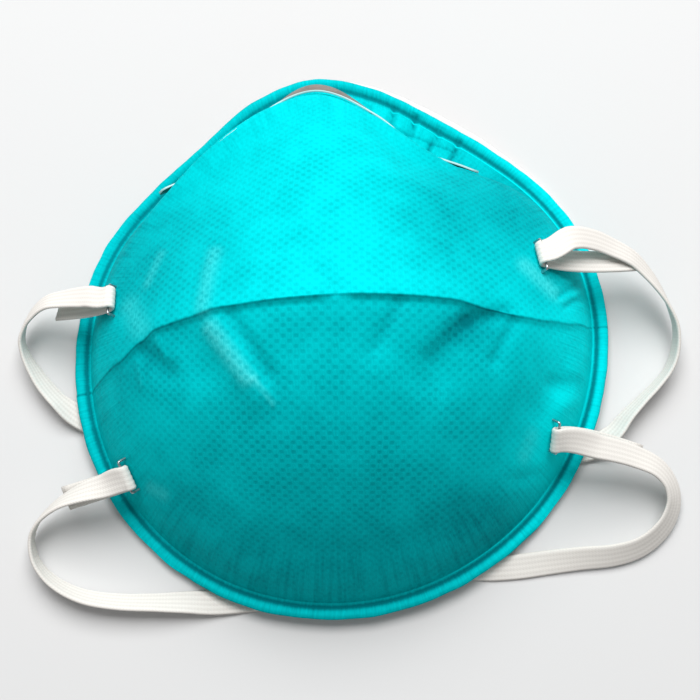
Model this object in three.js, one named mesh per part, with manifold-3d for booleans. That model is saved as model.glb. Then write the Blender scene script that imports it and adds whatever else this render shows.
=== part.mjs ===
import * as THREE from 'three';
import { mergeVertices } from 'three/addons/utils/BufferGeometryUtils.js';
import Module from 'manifold-3d';

// A disposable cup respirator that lies on its rim with the dome up. Millimetres, +Z up.
// The nose points towards +Y, the chin towards -Y, and the surface it lies on is z = 0.

// Driving dimensions
const CREST = new THREE.Vector2(0.5, 2); // the dome's highest point, in plan
const CREST_HEIGHT = 52;
const RIDGE_DROOP = THREE.MathUtils.degToRad(5); // how far the ridge's ends turn towards the chin
const NOSE_FULLNESS = 0.6; // how much sharper the nose panel falls away from the ridge near its ends
const CHIN_FULLNESS = 0.3; // the same for the chin panel
const FLANGE_WIDTH = 3.9; // the welded edge round the face opening
const LAYER_GAP = 0.4; // between the cover and the moulded layer under it
const COVER_THICKNESS = 1;
const INNER_THICKNESS = 1;
const INNER_TOP = COVER_THICKNESS + LAYER_GAP;
const WALL = INNER_TOP + INNER_THICKNESS;
const EDGE_ROUNDING = 0.25; // how far the flange's outer edge drops
const GROOVE_DEPTH = 0.35; // the pressed line along the flange
const STRAP_WIDTH = 6;
const STRAP_THICKNESS = 1;
const STRAP_CHAMFER = 0.3;
const STRAP_STATIONS = 56; // cross-sections along a strap's free run
const FOLD_STATIONS = 5; // cross-sections round the fold at a staple
const TAIL_STATIONS = 5; // steps along the cut end under the fold
const TAIL_BEND = 0.35; // where the cut end leaves the wall's slope, as a share of its length
const WIRE = 0.6; // the staple wire's diameter
const CROWN_LENGTH = 8.8; // between the middles of a staple's legs
const CLINCH = 3.1; // how far each leg is bent in behind the wall
const SEAT_GAP = 0.3; // between pieces that lie on each other
const CLIP_WIDTH = 5;
const CLIP_THICKNESS = 0.9;
const MERIDIANS = 56; // a multiple of four, so that one lies on each end of the ridge

// The rim, seen from above: its radius about the crest, how far it is lifted off the surface (below
// zero it is pressed flat there), and how far the white inner layer stands out past the cover.
// Angles run from +X towards +Y.
const RIM = [
  { angle: 0, radius: 64.2, lift: 0.6, peek: -0.3 },
  { angle: 15, radius: 63.6, lift: -0.2, peek: 0.2 },
  { angle: 30, radius: 61.6, lift: -0.2, peek: 0.7 },
  { angle: 45, radius: 59.2, lift: 1.2, peek: 0.9 },
  { angle: 60, radius: 58.6, lift: 3.2, peek: 1.4 },
  { angle: 75, radius: 61.1, lift: 5.4, peek: 0.9 },
  { angle: 90, radius: 63.6, lift: 6.5, peek: 0.3 },
  { angle: 105, radius: 61.6, lift: 5.4, peek: 0.5 },
  { angle: 120, radius: 58.5, lift: 3.2, peek: 0.4 },
  { angle: 135, radius: 59.2, lift: 1.2, peek: -0.2 },
  { angle: 150, radius: 61.9, lift: -0.2, peek: -0.4 },
  { angle: 165, radius: 63.8, lift: -0.2, peek: -0.5 },
  { angle: 180, radius: 65.0, lift: 1.2, peek: -0.5 },
  { angle: 195, radius: 66.4, lift: 2.2, peek: -0.5 },
  { angle: 210, radius: 67.9, lift: 0.9, peek: -0.5 },
  { angle: 225, radius: 68.5, lift: -0.8, peek: -0.5 },
  { angle: 240, radius: 68.6, lift: 2, peek: -0.5 },
  { angle: 255, radius: 68.1, lift: 2.4, peek: -0.5 },
  { angle: 270, radius: 67.4, lift: 2.2, peek: -0.4 },
  { angle: 285, radius: 66.5, lift: 2.4, peek: -0.3 },
  { angle: 300, radius: 65.7, lift: 1.9, peek: 0.2 },
  { angle: 315, radius: 65.2, lift: -0.8, peek: 0 },
  { angle: 330, radius: 64.5, lift: 1.7, peek: -0.4 },
  { angle: 345, radius: 64.2, lift: 1.8, peek: -0.5 },
];
const RIM_STEP = 360 / RIM.length;

// The dome's height from the flange to the crest as a share, at a share of the way out to the wall's foot
const PROFILE = [
  { out: 0, nose: 1, side: 1, chin: 1 },
  { out: 0.08, nose: 0.95, side: 0.992, chin: 0.98 },
  { out: 0.18, nose: 0.885, side: 0.972, chin: 0.94 },
  { out: 0.3, nose: 0.8, side: 0.93, chin: 0.88 },
  { out: 0.42, nose: 0.71, side: 0.867, chin: 0.8 },
  { out: 0.54, nose: 0.61, side: 0.78, chin: 0.7 },
  { out: 0.65, nose: 0.515, side: 0.675, chin: 0.58 },
  { out: 0.75, nose: 0.428, side: 0.555, chin: 0.46 },
  { out: 0.83, nose: 0.357, side: 0.437, chin: 0.35 },
  { out: 0.89, nose: 0.3, side: 0.328, chin: 0.262 },
  { out: 0.935, nose: 0.247, side: 0.228, chin: 0.183 },
  { out: 0.965, nose: 0.165, side: 0.142, chin: 0.116 },
  { out: 0.985, nose: 0.082, side: 0.066, chin: 0.058 },
  { out: 1, nose: 0, side: 0, chin: 0 },
];

// Across the flange: the share of its width, and the groove and rounding of the cover's top face there
const FLANGE = [
  { across: 0.32, sink: GROOVE_DEPTH },
  { across: 0.62, sink: 0 },
  { across: 1, sink: EDGE_ROUNDING },
];
const ROWS = PROFILE.length + FLANGE.length;

// Soft folds and dents of the dome: from one place in plan to another, with half width and height
const FOLDS = [
  { fromX: -25.5, fromY: 12, toX: -26, toY: 1, halfWidth: 2.8, height: 0.8 },
  { fromX: -25, fromY: -3, toX: -19, toY: -17, halfWidth: 3, height: 1 },
  { fromX: -34, fromY: -2, toX: -30, toY: -9, halfWidth: 4.5, height: -1.2 },
  { fromX: 34, fromY: -4, toX: 19, toY: -16, halfWidth: 4.5, height: -1.3 },
  { fromX: 41, fromY: -8, toX: 33, toY: -24, halfWidth: 4.5, height: 0.7 },
  { fromX: 13, fromY: -1, toX: 6, toY: -11, halfWidth: 2.5, height: -0.5 },
  { fromX: 50, fromY: -14, toX: 44, toY: -23, halfWidth: 4.5, height: -1 },
];

// Where each staple sits: its angle about the crest, share of the way out, and the strap's heading in plan
const STAPLES = {
  upper_left: { angle: 167.5, out: 0.885, heading: 176 },
  upper_right: { angle: 11, out: 0.79, heading: 4 },
  lower_left: { angle: 209.3, out: 0.935, heading: 197 },
  lower_right: { angle: 325.3, out: 0.913, heading: -10 },
};

// Each strap's cut ends under its folds, and its free run from the left staple round to the right one.
// Roll is how far the band is turned about its own length: 0 has its outer face up, 90 stands it on
// edge and 180 has that face down.
const STRAPS = {
  upper: {
    leftEnd: { x: -66.3, y: 14.2, z: 8.5 },
    rightEnd: { x: 71, y: 10.8, z: 12 },
    run: [
      { x: -58, y: 15.3, z: 18.2, roll: 0 },
      { x: -65, y: 16, z: 14, roll: 8 },
      { x: -71.3, y: 14, z: 9.8, roll: 30 },
      { x: -75.7, y: 10, z: 6.6, roll: 60 },
      { x: -77, y: 5.5, z: 4.8, roll: 88 },
      { x: -75.5, y: 0.5, z: 3.4, roll: 118 },
      { x: -70, y: -6.4, z: 1.6, roll: 155 },
      { x: -63.8, y: -12.2, z: 0.5, roll: 180 },
      { x: -52, y: -14.6, z: 0.5, roll: 180 },
      { x: -20, y: -18.7, z: 0.5, roll: 180 },
      { x: 20, y: -24.2, z: 0.5, roll: 180 },
      { x: 50, y: -28, z: 0.5, roll: 180 },
      { x: 61, y: -28, z: 0.5, roll: 180 },
      { x: 70, y: -22, z: 1.6, roll: 165 },
      { x: 76.6, y: -14.5, z: 3.2, roll: 125 },
      { x: 80, y: -6, z: 5, roll: 92 },
      { x: 79.5, y: 1.2, z: 7.4, roll: 68 },
      { x: 74.8, y: 8.5, z: 12, roll: 42 },
      { x: 66, y: 13.6, z: 18, roll: 18 },
      { x: 56.5, y: 14.2, z: 24, roll: 3 },
    ],
  },
  lower: {
    leftEnd: { x: -68.3, y: -28, z: 5 },
    rightEnd: { x: 67.9, y: -32.5, z: 5.5 },
    run: [
      { x: -59, y: -29.2, z: 12.5, roll: 0 },
      { x: -66, y: -30.8, z: 10.2, roll: 10 },
      { x: -72.4, y: -33.4, z: 7.6, roll: 35 },
      { x: -77, y: -38.2, z: 5.2, roll: 65 },
      { x: -77.8, y: -42.8, z: 4, roll: 90 },
      { x: -75.5, y: -47.5, z: 3.2, roll: 115 },
      { x: -70, y: -51.6, z: 2.2, roll: 142 },
      { x: -56.3, y: -56.1, z: 1, roll: 166 },
      { x: -45, y: -57.9, z: 0.5, roll: 178 },
      { x: -32.7, y: -58.4, z: 0.5, roll: 180 },
      { x: 0, y: -57.8, z: 0.5, roll: 180 },
      { x: 24.6, y: -57.2, z: 0.5, roll: 180 },
      { x: 36.4, y: -57.6, z: 0.8, roll: 172 },
      { x: 48.3, y: -58, z: 1.6, roll: 152 },
      { x: 58.8, y: -57.7, z: 2.4, roll: 135 },
      { x: 67.2, y: -55.6, z: 3, roll: 120 },
      { x: 73.5, y: -50.7, z: 3.8, roll: 102 },
      { x: 75.7, y: -45.1, z: 5, roll: 80 },
      { x: 73, y: -39.5, z: 7.4, roll: 50 },
      { x: 66.5, y: -35.6, z: 10.6, roll: 25 },
      { x: 57, y: -33, z: 14, roll: 6 },
    ],
  },
};

// The nose clip's two ends: angle about the crest. It lies on the steep wall below the nose panel.
const CLIP_FROM = 43;
const CLIP_TO = 137;
const CLIP_OUT = 0.965;

const wasm = await Module();
wasm.setup();

const UP = new THREE.Vector3(0, 0, 1);
const { degToRad, radToDeg, lerp, smoothstep } = THREE.MathUtils;

// A smooth curve's value between b and c, with a and d as the neighbours on either side
function smoothValue(share, a, b, c, d) {
  const startSlope = (c - a) / 2;
  const endSlope = (d - b) / 2;
  const cubed = 2 * b - 2 * c + startSlope + endSlope;
  const squared = -3 * b + 3 * c - 2 * startSlope - endSlope;
  return ((cubed * share + squared) * share + startSlope) * share + b;
}

// A smooth column of the rim's table at an angle in radians
function rimRadius(column, angle) {
  const place = THREE.MathUtils.euclideanModulo(radToDeg(angle), 360) / RIM_STEP;
  const row = Math.floor(place);
  const value = (step) => RIM[(row + step + RIM.length) % RIM.length][column];
  return smoothValue(place - row, value(-1), value(0), value(1), value(2));
}

// A straight-lined column of the rim's table, so that what lies flat stays flat
function rimLift(angle) {
  const place = THREE.MathUtils.euclideanModulo(radToDeg(angle), 360) / RIM_STEP;
  const row = Math.floor(place) % RIM.length;
  const lift = lerp(RIM[row].lift, RIM[(row + 1) % RIM.length].lift, place - Math.floor(place));
  return Math.max(lift, 0);
}

// One column of the profile's table at a share of the way out
function profileHeight(column, out) {
  const after = Math.max(1, PROFILE.findIndex((row) => row.out >= out));
  const low = PROFILE[after - 1];
  const high = PROFILE[after];
  return lerp(low[column], high[column], (out - low.out) / (high.out - low.out));
}

// The folds' height at a place in plan
function foldHeight(x, y) {
  const place = new THREE.Vector3(x, y, 0);
  const nearest = new THREE.Vector3();
  return FOLDS.reduce((sum, fold) => {
    const line = new THREE.Line3(
      new THREE.Vector3(fold.fromX, fold.fromY, 0),
      new THREE.Vector3(fold.toX, fold.toY, 0),
    );
    line.closestPointToPoint(place, true, nearest);
    const distance = place.distanceTo(nearest) / fold.halfWidth;
    return sum + fold.height * Math.exp(-distance * distance);
  }, 0);
}

// The cover's outer face: angle about the crest, and the share of the way out to the wall's foot
function outerFace(angle, out) {
  const foot = rimRadius('radius', angle) - FLANGE_WIDTH;
  const edge = rimLift(angle) + WALL;
  const side = Math.sin(angle + RIDGE_DROOP * Math.cos(angle) * out * out);
  const panel = side > 0 ? 'nose' : 'chin';
  const fullness = (side > 0 ? NOSE_FULLNESS : CHIN_FULLNESS) * out;
  const turn = 1 - (1 - Math.abs(side)) ** (1 + fullness);
  const share = lerp(profileHeight('side', out), profileHeight(panel, out), turn);
  const x = CREST.x + foot * out * Math.cos(angle);
  const y = CREST.y + foot * out * Math.sin(angle);
  const folds = foldHeight(x, y) * (1 - smoothstep(out, 0.85, 0.97));
  return new THREE.Vector3(x, y, edge + (CREST_HEIGHT - edge) * share + folds);
}

// The flange's top face: angle about the crest, and the share of its width
function flangeFace(angle, across) {
  const radius = rimRadius('radius', angle) - FLANGE_WIDTH * (1 - across);
  const x = CREST.x + radius * Math.cos(angle);
  const y = CREST.y + radius * Math.sin(angle);
  return new THREE.Vector3(x, y, rimLift(angle) + WALL);
}

// The angle that a meridian has reached at a share of the way out, bowed with the ridge
function meridianAngle(meridian, out) {
  const start = (meridian / MERIDIANS) * 2 * Math.PI;
  return start - RIDGE_DROOP * Math.cos(start) * out * out;
}

// The grid of the outer face, by meridian and row, and its outward directions
const grid = Array.from({ length: MERIDIANS }, (_, meridian) => [
  ...PROFILE.map(({ out }) => outerFace(meridianAngle(meridian, out), out)),
  ...FLANGE.map(({ across }) => flangeFace(meridianAngle(meridian, 1), across)),
]);
const meridianPoint = (meridian, row) => grid[(meridian + MERIDIANS) % MERIDIANS][row];

function outwardAt(meridian, row) {
  const inner = meridianPoint(meridian, row - 1);
  const outer = meridianPoint(meridian, Math.min(row + 1, ROWS - 1));
  const along = outer.clone().sub(inner);
  const round = meridianPoint(meridian + 1, row).clone().sub(meridianPoint(meridian - 1, row));
  return along.cross(round).normalize();
}

const outward = grid.map((points, meridian) => points.map((_, row) => outwardAt(meridian, Math.max(row, 1))));
const crestOutward = outward.reduce((sum, rows) => sum.add(rows[1]), new THREE.Vector3()).normalize();
outward.forEach((rows) => rows[0].copy(crestOutward));

// A moulded layer between two depths below the outer face. Relief is cut into its top face at the
// flange, and the column of the rim's table that is named moves its outer edge out.
function mouldedLayer(top, bottom, { relief = false, edgeColumn = null } = {}) {
  const profile = new Array(2 * ROWS).fill(new THREE.Vector2(1, 0));
  const geometry = new THREE.LatheGeometry(profile, MERIDIANS);
  const position = geometry.getAttribute('position');
  for (let step = 0; step <= MERIDIANS; step++) {
    const meridian = step % MERIDIANS;
    for (let place = 0; place < 2 * ROWS; place++) {
      const isTop = place >= ROWS;
      const row = isTop ? 2 * ROWS - 1 - place : place;
      const point = meridianPoint(meridian, row).clone();
      point.addScaledVector(outward[meridian][row], -(isTop ? top : bottom));
      const flangeRow = row - PROFILE.length;
      if (relief && isTop && flangeRow >= 0) {
        point.z -= FLANGE[flangeRow].sink;
      }
      if (edgeColumn && flangeRow === FLANGE.length - 1) {
        const angle = meridianAngle(meridian, 1);
        const extra = rimRadius(edgeColumn, angle);
        point.x += extra * Math.cos(angle);
        point.y += extra * Math.sin(angle);
      }
      position.setXYZ(step * 2 * ROWS + place, point.x, point.y, point.z);
    }
  }
  return geometry;
}

// A geometry as a solid for cutting: shared corners merged, flat triangles at the poles dropped
function solidOf(geometry) {
  const plain = geometry.clone();
  plain.deleteAttribute('normal');
  plain.deleteAttribute('uv');
  const merged = mergeVertices(plain);
  const index = merged.getIndex();
  const triangles = [];
  for (let first = 0; first < index.count; first += 3) {
    const corners = [index.getX(first), index.getX(first + 1), index.getX(first + 2)];
    if (new Set(corners).size === 3) {
      triangles.push(...corners);
    }
  }
  return new wasm.Manifold(
    new wasm.Mesh({
      numProp: 3,
      vertProperties: new Float32Array(merged.getAttribute('position').array),
      triVerts: new Uint32Array(triangles),
    }),
  );
}

function geometryOf(solid) {
  const { vertProperties, triVerts } = solid.getMesh();
  const geometry = new THREE.BufferGeometry();
  geometry.setAttribute('position', new THREE.BufferAttribute(vertProperties, 3));
  geometry.setIndex(new THREE.BufferAttribute(triVerts, 1));
  geometry.computeVertexNormals();
  return geometry;
}

// A path given by stations, each a point and the direction of the section's first axis there
class StationPath extends THREE.Curve {
  constructor(stations) {
    super();
    this.stations = stations;
  }

  getPoint(share) {
    const place = share * (this.stations.length - 1);
    const before = Math.min(Math.floor(place), this.stations.length - 2);
    const { point } = this.stations[before];
    return point.clone().lerp(this.stations[before + 1].point, place - before);
  }

  getSpacedPoints() {
    return this.stations.map(({ point }) => point.clone());
  }

  computeFrenetFrames() {
    const last = this.stations.length - 1;
    const tangents = this.stations.map((_, at) => {
      const before = this.stations[Math.max(at - 1, 0)].point;
      return this.stations[Math.min(at + 1, last)].point.clone().sub(before).normalize();
    });
    const normals = this.stations.map(({ across }, at) => {
      const lean = tangents[at].clone().multiplyScalar(across.dot(tangents[at]));
      return across.clone().sub(lean).normalize();
    });
    const binormals = tangents.map((tangent, at) => tangent.clone().cross(normals[at]));
    return { tangents, normals, binormals };
  }
}

// A section swept along stations
function sweep(shape, stations) {
  const path = new StationPath(stations);
  return new THREE.ExtrudeGeometry(shape, { steps: stations.length - 1, extrudePath: path });
}

// A flat bar's section with chamfered corners
function barShape(width, thickness, chamfer) {
  const halfWidth = width / 2;
  const halfThickness = thickness / 2;
  const corners = [
    [halfWidth - chamfer, -halfThickness],
    [halfWidth, chamfer - halfThickness],
    [halfWidth, halfThickness - chamfer],
    [halfWidth - chamfer, halfThickness],
    [chamfer - halfWidth, halfThickness],
    [-halfWidth, halfThickness - chamfer],
    [-halfWidth, chamfer - halfThickness],
    [chamfer - halfWidth, -halfThickness],
  ];
  return new THREE.Shape(corners.map(([x, y]) => new THREE.Vector2(x, y)));
}

// A round wire's section with a few sides
function wireShape(diameter, sides = 6) {
  const radius = diameter / 2;
  const corner = (at) => {
    const angle = ((at + 0.5) / sides) * 2 * Math.PI;
    return new THREE.Vector2(radius * Math.cos(angle), radius * Math.sin(angle));
  };
  return new THREE.Shape(Array.from({ length: sides }, (_, at) => corner(at)));
}

// A staple's seat on the cover: the point, the wall's outward direction, the way that the strap
// leaves, and the way across the strap
function stapleSeat({ angle, out, heading }) {
  const nudge = 0.01;
  const place = degToRad(angle);
  const point = outerFace(place, out);
  const along = outerFace(place, out + nudge).sub(outerFace(place, out - nudge));
  const round = outerFace(place + nudge, out).sub(outerFace(place - nudge, out));
  const normal = along.cross(round).normalize();
  const leaves = new THREE.Vector3(Math.cos(degToRad(heading)), Math.sin(degToRad(heading)), 0);
  leaves.addScaledVector(normal, -leaves.dot(normal)).normalize();
  const across = normal.clone().cross(leaves).normalize();
  return { point, normal, leaves, across };
}

const TAIL_HEIGHT = SEAT_GAP + STRAP_THICKNESS / 2; // the tail's middle above the cover
const CROWN_HEIGHT = TAIL_HEIGHT + STRAP_THICKNESS / 2 + SEAT_GAP + WIRE / 2;
const FOLD_RADIUS = CROWN_HEIGHT - TAIL_HEIGHT; // the strap folds round the staple's crown
const LEG_END = WALL + SEAT_GAP + WIRE / 2; // the clinched ends' depth below the cover

// The stations of a strap's end, from the tail's cut end round the fold to the free run. The tail
// lies along the wall at the staple and then stands off over the flange.
function strapEnd(seat, cutEnd) {
  const place = (towards, height) =>
    seat.point.clone().addScaledVector(seat.leaves, towards).addScaledVector(seat.normal, height);
  const end = new THREE.Vector3(cutEnd.x, cutEnd.y, cutEnd.z);
  const held = place(0, TAIL_HEIGHT);
  const bend = place(TAIL_BEND * held.distanceTo(end), TAIL_HEIGHT);
  const tail = new THREE.QuadraticBezierCurve3(end, bend, held).getPoints(TAIL_STATIONS);
  const fold = Array.from({ length: FOLD_STATIONS }, (_, at) => {
    const turn = ((at + 1) / FOLD_STATIONS) * Math.PI;
    const height = CROWN_HEIGHT - FOLD_RADIUS * Math.cos(turn);
    return place(-FOLD_RADIUS * Math.sin(turn), height);
  });
  return [...tail, ...fold].map((point) => ({ point, across: seat.across }));
}

// The free run's stations through the table's rows, with the roll turned into a direction across
// the band. No edge of it reaches below the surface.
function strapRun(run, leftFold, rightFold) {
  const points = run.map(({ x, y, z }) => new THREE.Vector3(x, y, z));
  const curve = new THREE.CatmullRomCurve3([leftFold, ...points, rightFold], false, 'centripetal');
  const rolls = [0, ...run.map(({ roll }) => roll), 0];
  return Array.from({ length: STRAP_STATIONS - 1 }, (_, at) => {
    const share = curve.getUtoTmapping((at + 1) / STRAP_STATIONS);
    const place = share * (rolls.length - 1);
    const before = Math.min(Math.floor(place), rolls.length - 2);
    const roll = degToRad(lerp(rolls[before], rolls[before + 1], place - before));
    const tangent = curve.getTangent(share);
    const level = UP.clone().cross(tangent).normalize();
    const across = level.clone().multiplyScalar(Math.cos(roll));
    across.addScaledVector(tangent.clone().cross(level), Math.sin(roll));
    const facing = tangent.clone().cross(across);
    const point = curve.getPoint(share);
    const reach = (STRAP_WIDTH * Math.abs(across.z) + STRAP_THICKNESS * Math.abs(facing.z)) / 2;
    point.z = Math.max(point.z, reach);
    return { point, across };
  });
}

function strap({ run, leftEnd, rightEnd }, leftSeat, rightSeat) {
  const left = strapEnd(leftSeat, leftEnd);
  const right = strapEnd(rightSeat, rightEnd).reverse();
  const middle = strapRun(run, left[left.length - 1].point, right[0].point);
  const section = barShape(STRAP_WIDTH, STRAP_THICKNESS, STRAP_CHAMFER);
  return sweep(section, [...left, ...middle, ...right]);
}

// The corners of a staple's wire, along its length, as places across the strap and above the cover
const STAPLE_ROUTE = [
  { across: CROWN_LENGTH / 2 - CLINCH, height: -LEG_END },
  { across: CROWN_LENGTH / 2, height: -LEG_END },
  { across: CROWN_LENGTH / 2, height: CROWN_HEIGHT },
  { across: -CROWN_LENGTH / 2, height: CROWN_HEIGHT },
  { across: -CROWN_LENGTH / 2, height: -LEG_END },
  { across: CLINCH - CROWN_LENGTH / 2, height: -LEG_END },
];
const BEND = 0.55; // the inner length taken up by each corner of the wire

// A staple's wire with its corners rounded
function staple(seat) {
  const place = ({ across, height }) =>
    seat.point.clone().addScaledVector(seat.across, across).addScaledVector(seat.normal, height);
  const corners = STAPLE_ROUTE.map(place);
  const points = corners.flatMap((corner, at) => {
    if (at === 0 || at === corners.length - 1) {
      return [corner];
    }
    const back = corners[at - 1].clone().sub(corner).normalize();
    const ahead = corners[at + 1].clone().sub(corner).normalize();
    const start = corner.clone().addScaledVector(back, BEND);
    const end = corner.clone().addScaledVector(ahead, BEND);
    const arc = new THREE.QuadraticBezierCurve3(start, corner, end);
    return arc.getPoints(3);
  });
  return sweep(wireShape(WIRE), points.map((point) => ({ point, across: seat.leaves })));
}

// The two holes that a staple's legs leave in the layers
function stapleHoles(seat) {
  return [-1, 1].map((side) => {
    const middle = seat.point.clone().addScaledVector(seat.across, (side * CROWN_LENGTH) / 2);
    const hole = new THREE.CylinderGeometry(WIRE / 2 + SEAT_GAP, WIRE / 2 + SEAT_GAP, 4 * WALL, 8);
    hole.applyQuaternion(new THREE.Quaternion().setFromUnitVectors(new THREE.Vector3(0, 1, 0), seat.normal));
    hole.translate(middle.x, middle.y, middle.z);
    return solidOf(hole);
  });
}

// The nose clip, a station on each meridian that it crosses
function noseClip() {
  const nudge = 0.012;
  const count = Math.round((CLIP_TO - CLIP_FROM) / (360 / MERIDIANS));
  const stations = Array.from({ length: count + 1 }, (_, at) => {
    const angle = degToRad(lerp(CLIP_FROM, CLIP_TO, at / count));
    const up = outerFace(angle, CLIP_OUT - nudge).sub(outerFace(angle, CLIP_OUT + nudge)).normalize();
    const round = outerFace(angle + nudge, CLIP_OUT).sub(outerFace(angle - nudge, CLIP_OUT));
    const normal = round.clone().cross(up).normalize();
    const point = outerFace(angle, CLIP_OUT).addScaledVector(normal, SEAT_GAP + CLIP_THICKNESS / 2);
    return { point, across: up };
  });
  return sweep(barShape(CLIP_WIDTH, CLIP_THICKNESS, CLIP_THICKNESS / 4), stations);
}

const seats = Object.fromEntries(Object.entries(STAPLES).map(([name, row]) => [name, stapleSeat(row)]));
const holes = Object.values(seats).flatMap(stapleHoles);
const cutForStaples = (geometry) =>
  geometryOf(holes.reduce((solid, hole) => solid.subtract(hole), solidOf(geometry)));

// Finishes
const coverCloth = new THREE.MeshStandardMaterial({ color: 0x14a3a6, roughness: 0.85, metalness: 0 });
const innerCloth = new THREE.MeshStandardMaterial({ color: 0xe9ebe8, roughness: 0.95, metalness: 0 });
const clipMetal = new THREE.MeshStandardMaterial({ color: 0xa9aaa6, roughness: 0.4, metalness: 0.9 });
const elastic = new THREE.MeshStandardMaterial({ color: 0xece9e2, roughness: 0.8, metalness: 0 });
const stapleMetal = new THREE.MeshStandardMaterial({ color: 0xb4b6b8, roughness: 0.3, metalness: 1 });

const respirator = new THREE.Group();

function addPiece(name, geometry, material) {
  const piece = new THREE.Mesh(geometry, material);
  piece.name = name;
  respirator.add(piece);
}

addPiece('cover_shell', cutForStaples(mouldedLayer(0, COVER_THICKNESS, { relief: true })), coverCloth);
addPiece('inner_shell', cutForStaples(mouldedLayer(INNER_TOP, WALL, { edgeColumn: 'peek' })), innerCloth);
addPiece('nose_clip', noseClip(), clipMetal);
for (const level of ['upper', 'lower']) {
  const left = seats[`${level}_left`];
  const right = seats[`${level}_right`];
  addPiece(`${level}_strap`, strap(STRAPS[level], left, right), elastic);
  addPiece(`staple_${level}_left`, staple(left), stapleMetal);
  addPiece(`staple_${level}_right`, staple(right), stapleMetal);
}

export default respirator;
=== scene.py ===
"""A disposable cup respirator that lies on its rim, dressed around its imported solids.

The part's frame is kept: +Z up through the dome, +Y towards the nose, and the rim on z = 0. The
tables and the classes that build meshes are in millimetres, the finishes and the meshes in metres.
"""

import logging
import math
from dataclasses import dataclass, replace
from enum import Enum
from itertools import accumulate
from typing import Callable, NamedTuple, Sequence

import bmesh
import bpy
from mathutils import Matrix, Vector, noise


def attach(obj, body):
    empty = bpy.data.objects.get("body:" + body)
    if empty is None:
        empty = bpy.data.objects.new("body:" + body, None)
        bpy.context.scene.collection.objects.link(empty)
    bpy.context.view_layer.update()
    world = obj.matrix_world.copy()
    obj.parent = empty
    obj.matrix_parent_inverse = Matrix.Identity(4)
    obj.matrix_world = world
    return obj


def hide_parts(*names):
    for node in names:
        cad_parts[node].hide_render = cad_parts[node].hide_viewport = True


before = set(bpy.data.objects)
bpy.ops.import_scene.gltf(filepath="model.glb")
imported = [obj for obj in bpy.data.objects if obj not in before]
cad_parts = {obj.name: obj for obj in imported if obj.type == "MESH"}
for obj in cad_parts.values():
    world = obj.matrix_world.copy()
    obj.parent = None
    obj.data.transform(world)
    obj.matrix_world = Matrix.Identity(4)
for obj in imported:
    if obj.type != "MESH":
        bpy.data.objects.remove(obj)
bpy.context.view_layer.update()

MM = 0.001
BODY = "root"
CHART = "chart"  # the name of every piece's own coordinates
UP = Vector((0, 0, 1))
LOG = logging.getLogger("respirator")

Colour = tuple[float, float, float]
Span = tuple[float, float]
BMesh = bmesh.types.BMesh
Material = bpy.types.Material
Object = bpy.types.Object
Socket = bpy.types.NodeSocket


class Slot(str, Enum):
    """The record's material slots."""

    COVER = "cover_cloth"
    INNER = "inner_cloth"
    CLIP = "clip_metal"
    ELASTIC = "elastic"
    WIRE = "staple_wire"


class Panel(str, Enum):
    """The two halves of the dome, on either side of the ridge."""

    NOSE = "nose"
    CHIN = "chin"


class Shade:
    """A number that varies over a surface, with Math nodes added by Python's operators."""

    def __init__(self, wiring: "Wiring", socket: Socket) -> None:
        """Keeps the socket that gives the number."""
        self.wiring = wiring
        self.socket = socket

    def __add__(self, other: "Shade | float") -> "Shade":
        """Adds."""
        return self.wiring.math("ADD", self, other)

    def __radd__(self, other: float) -> "Shade":
        """Adds to a plain number."""
        return self.wiring.math("ADD", other, self)

    def __sub__(self, other: "Shade | float") -> "Shade":
        """Subtracts."""
        return self.wiring.math("SUBTRACT", self, other)

    def __rsub__(self, other: float) -> "Shade":
        """Is subtracted from a plain number."""
        return self.wiring.math("SUBTRACT", other, self)

    def __mul__(self, other: "Shade | float") -> "Shade":
        """Multiplies."""
        return self.wiring.math("MULTIPLY", self, other)

    def __rmul__(self, other: float) -> "Shade":
        """Multiplies a plain number."""
        return self.wiring.math("MULTIPLY", other, self)

    def size(self) -> "Shade":
        """This number without its sign."""
        return self.wiring.math("ABSOLUTE", self)

    def wave(self, period: float) -> "Shade":
        """A cosine wave of this number."""
        return self.wiring.math("COSINE", self * (2 * math.pi / period))

    def between(self, low: float, high: float) -> "Shade":
        """Goes smoothly from 0 to 1.

        Args:
            low: Where it leaves 0.
            high: Where it reaches 1.

        Returns:
            The step.
        """
        sockets = {"Value": self, "From Min": low, "From Max": high}
        made = self.wiring.node("ShaderNodeMapRange", {"interpolation_type": "SMOOTHSTEP"}, sockets)
        return Shade(self.wiring, made.outputs["Result"])

    def near(self, middle: float, reach: float) -> "Shade":
        """Is 1 at the middle and falls smoothly to 0 at the reach on either side."""
        return 1 - (self - middle).size().between(0, reach)


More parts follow.
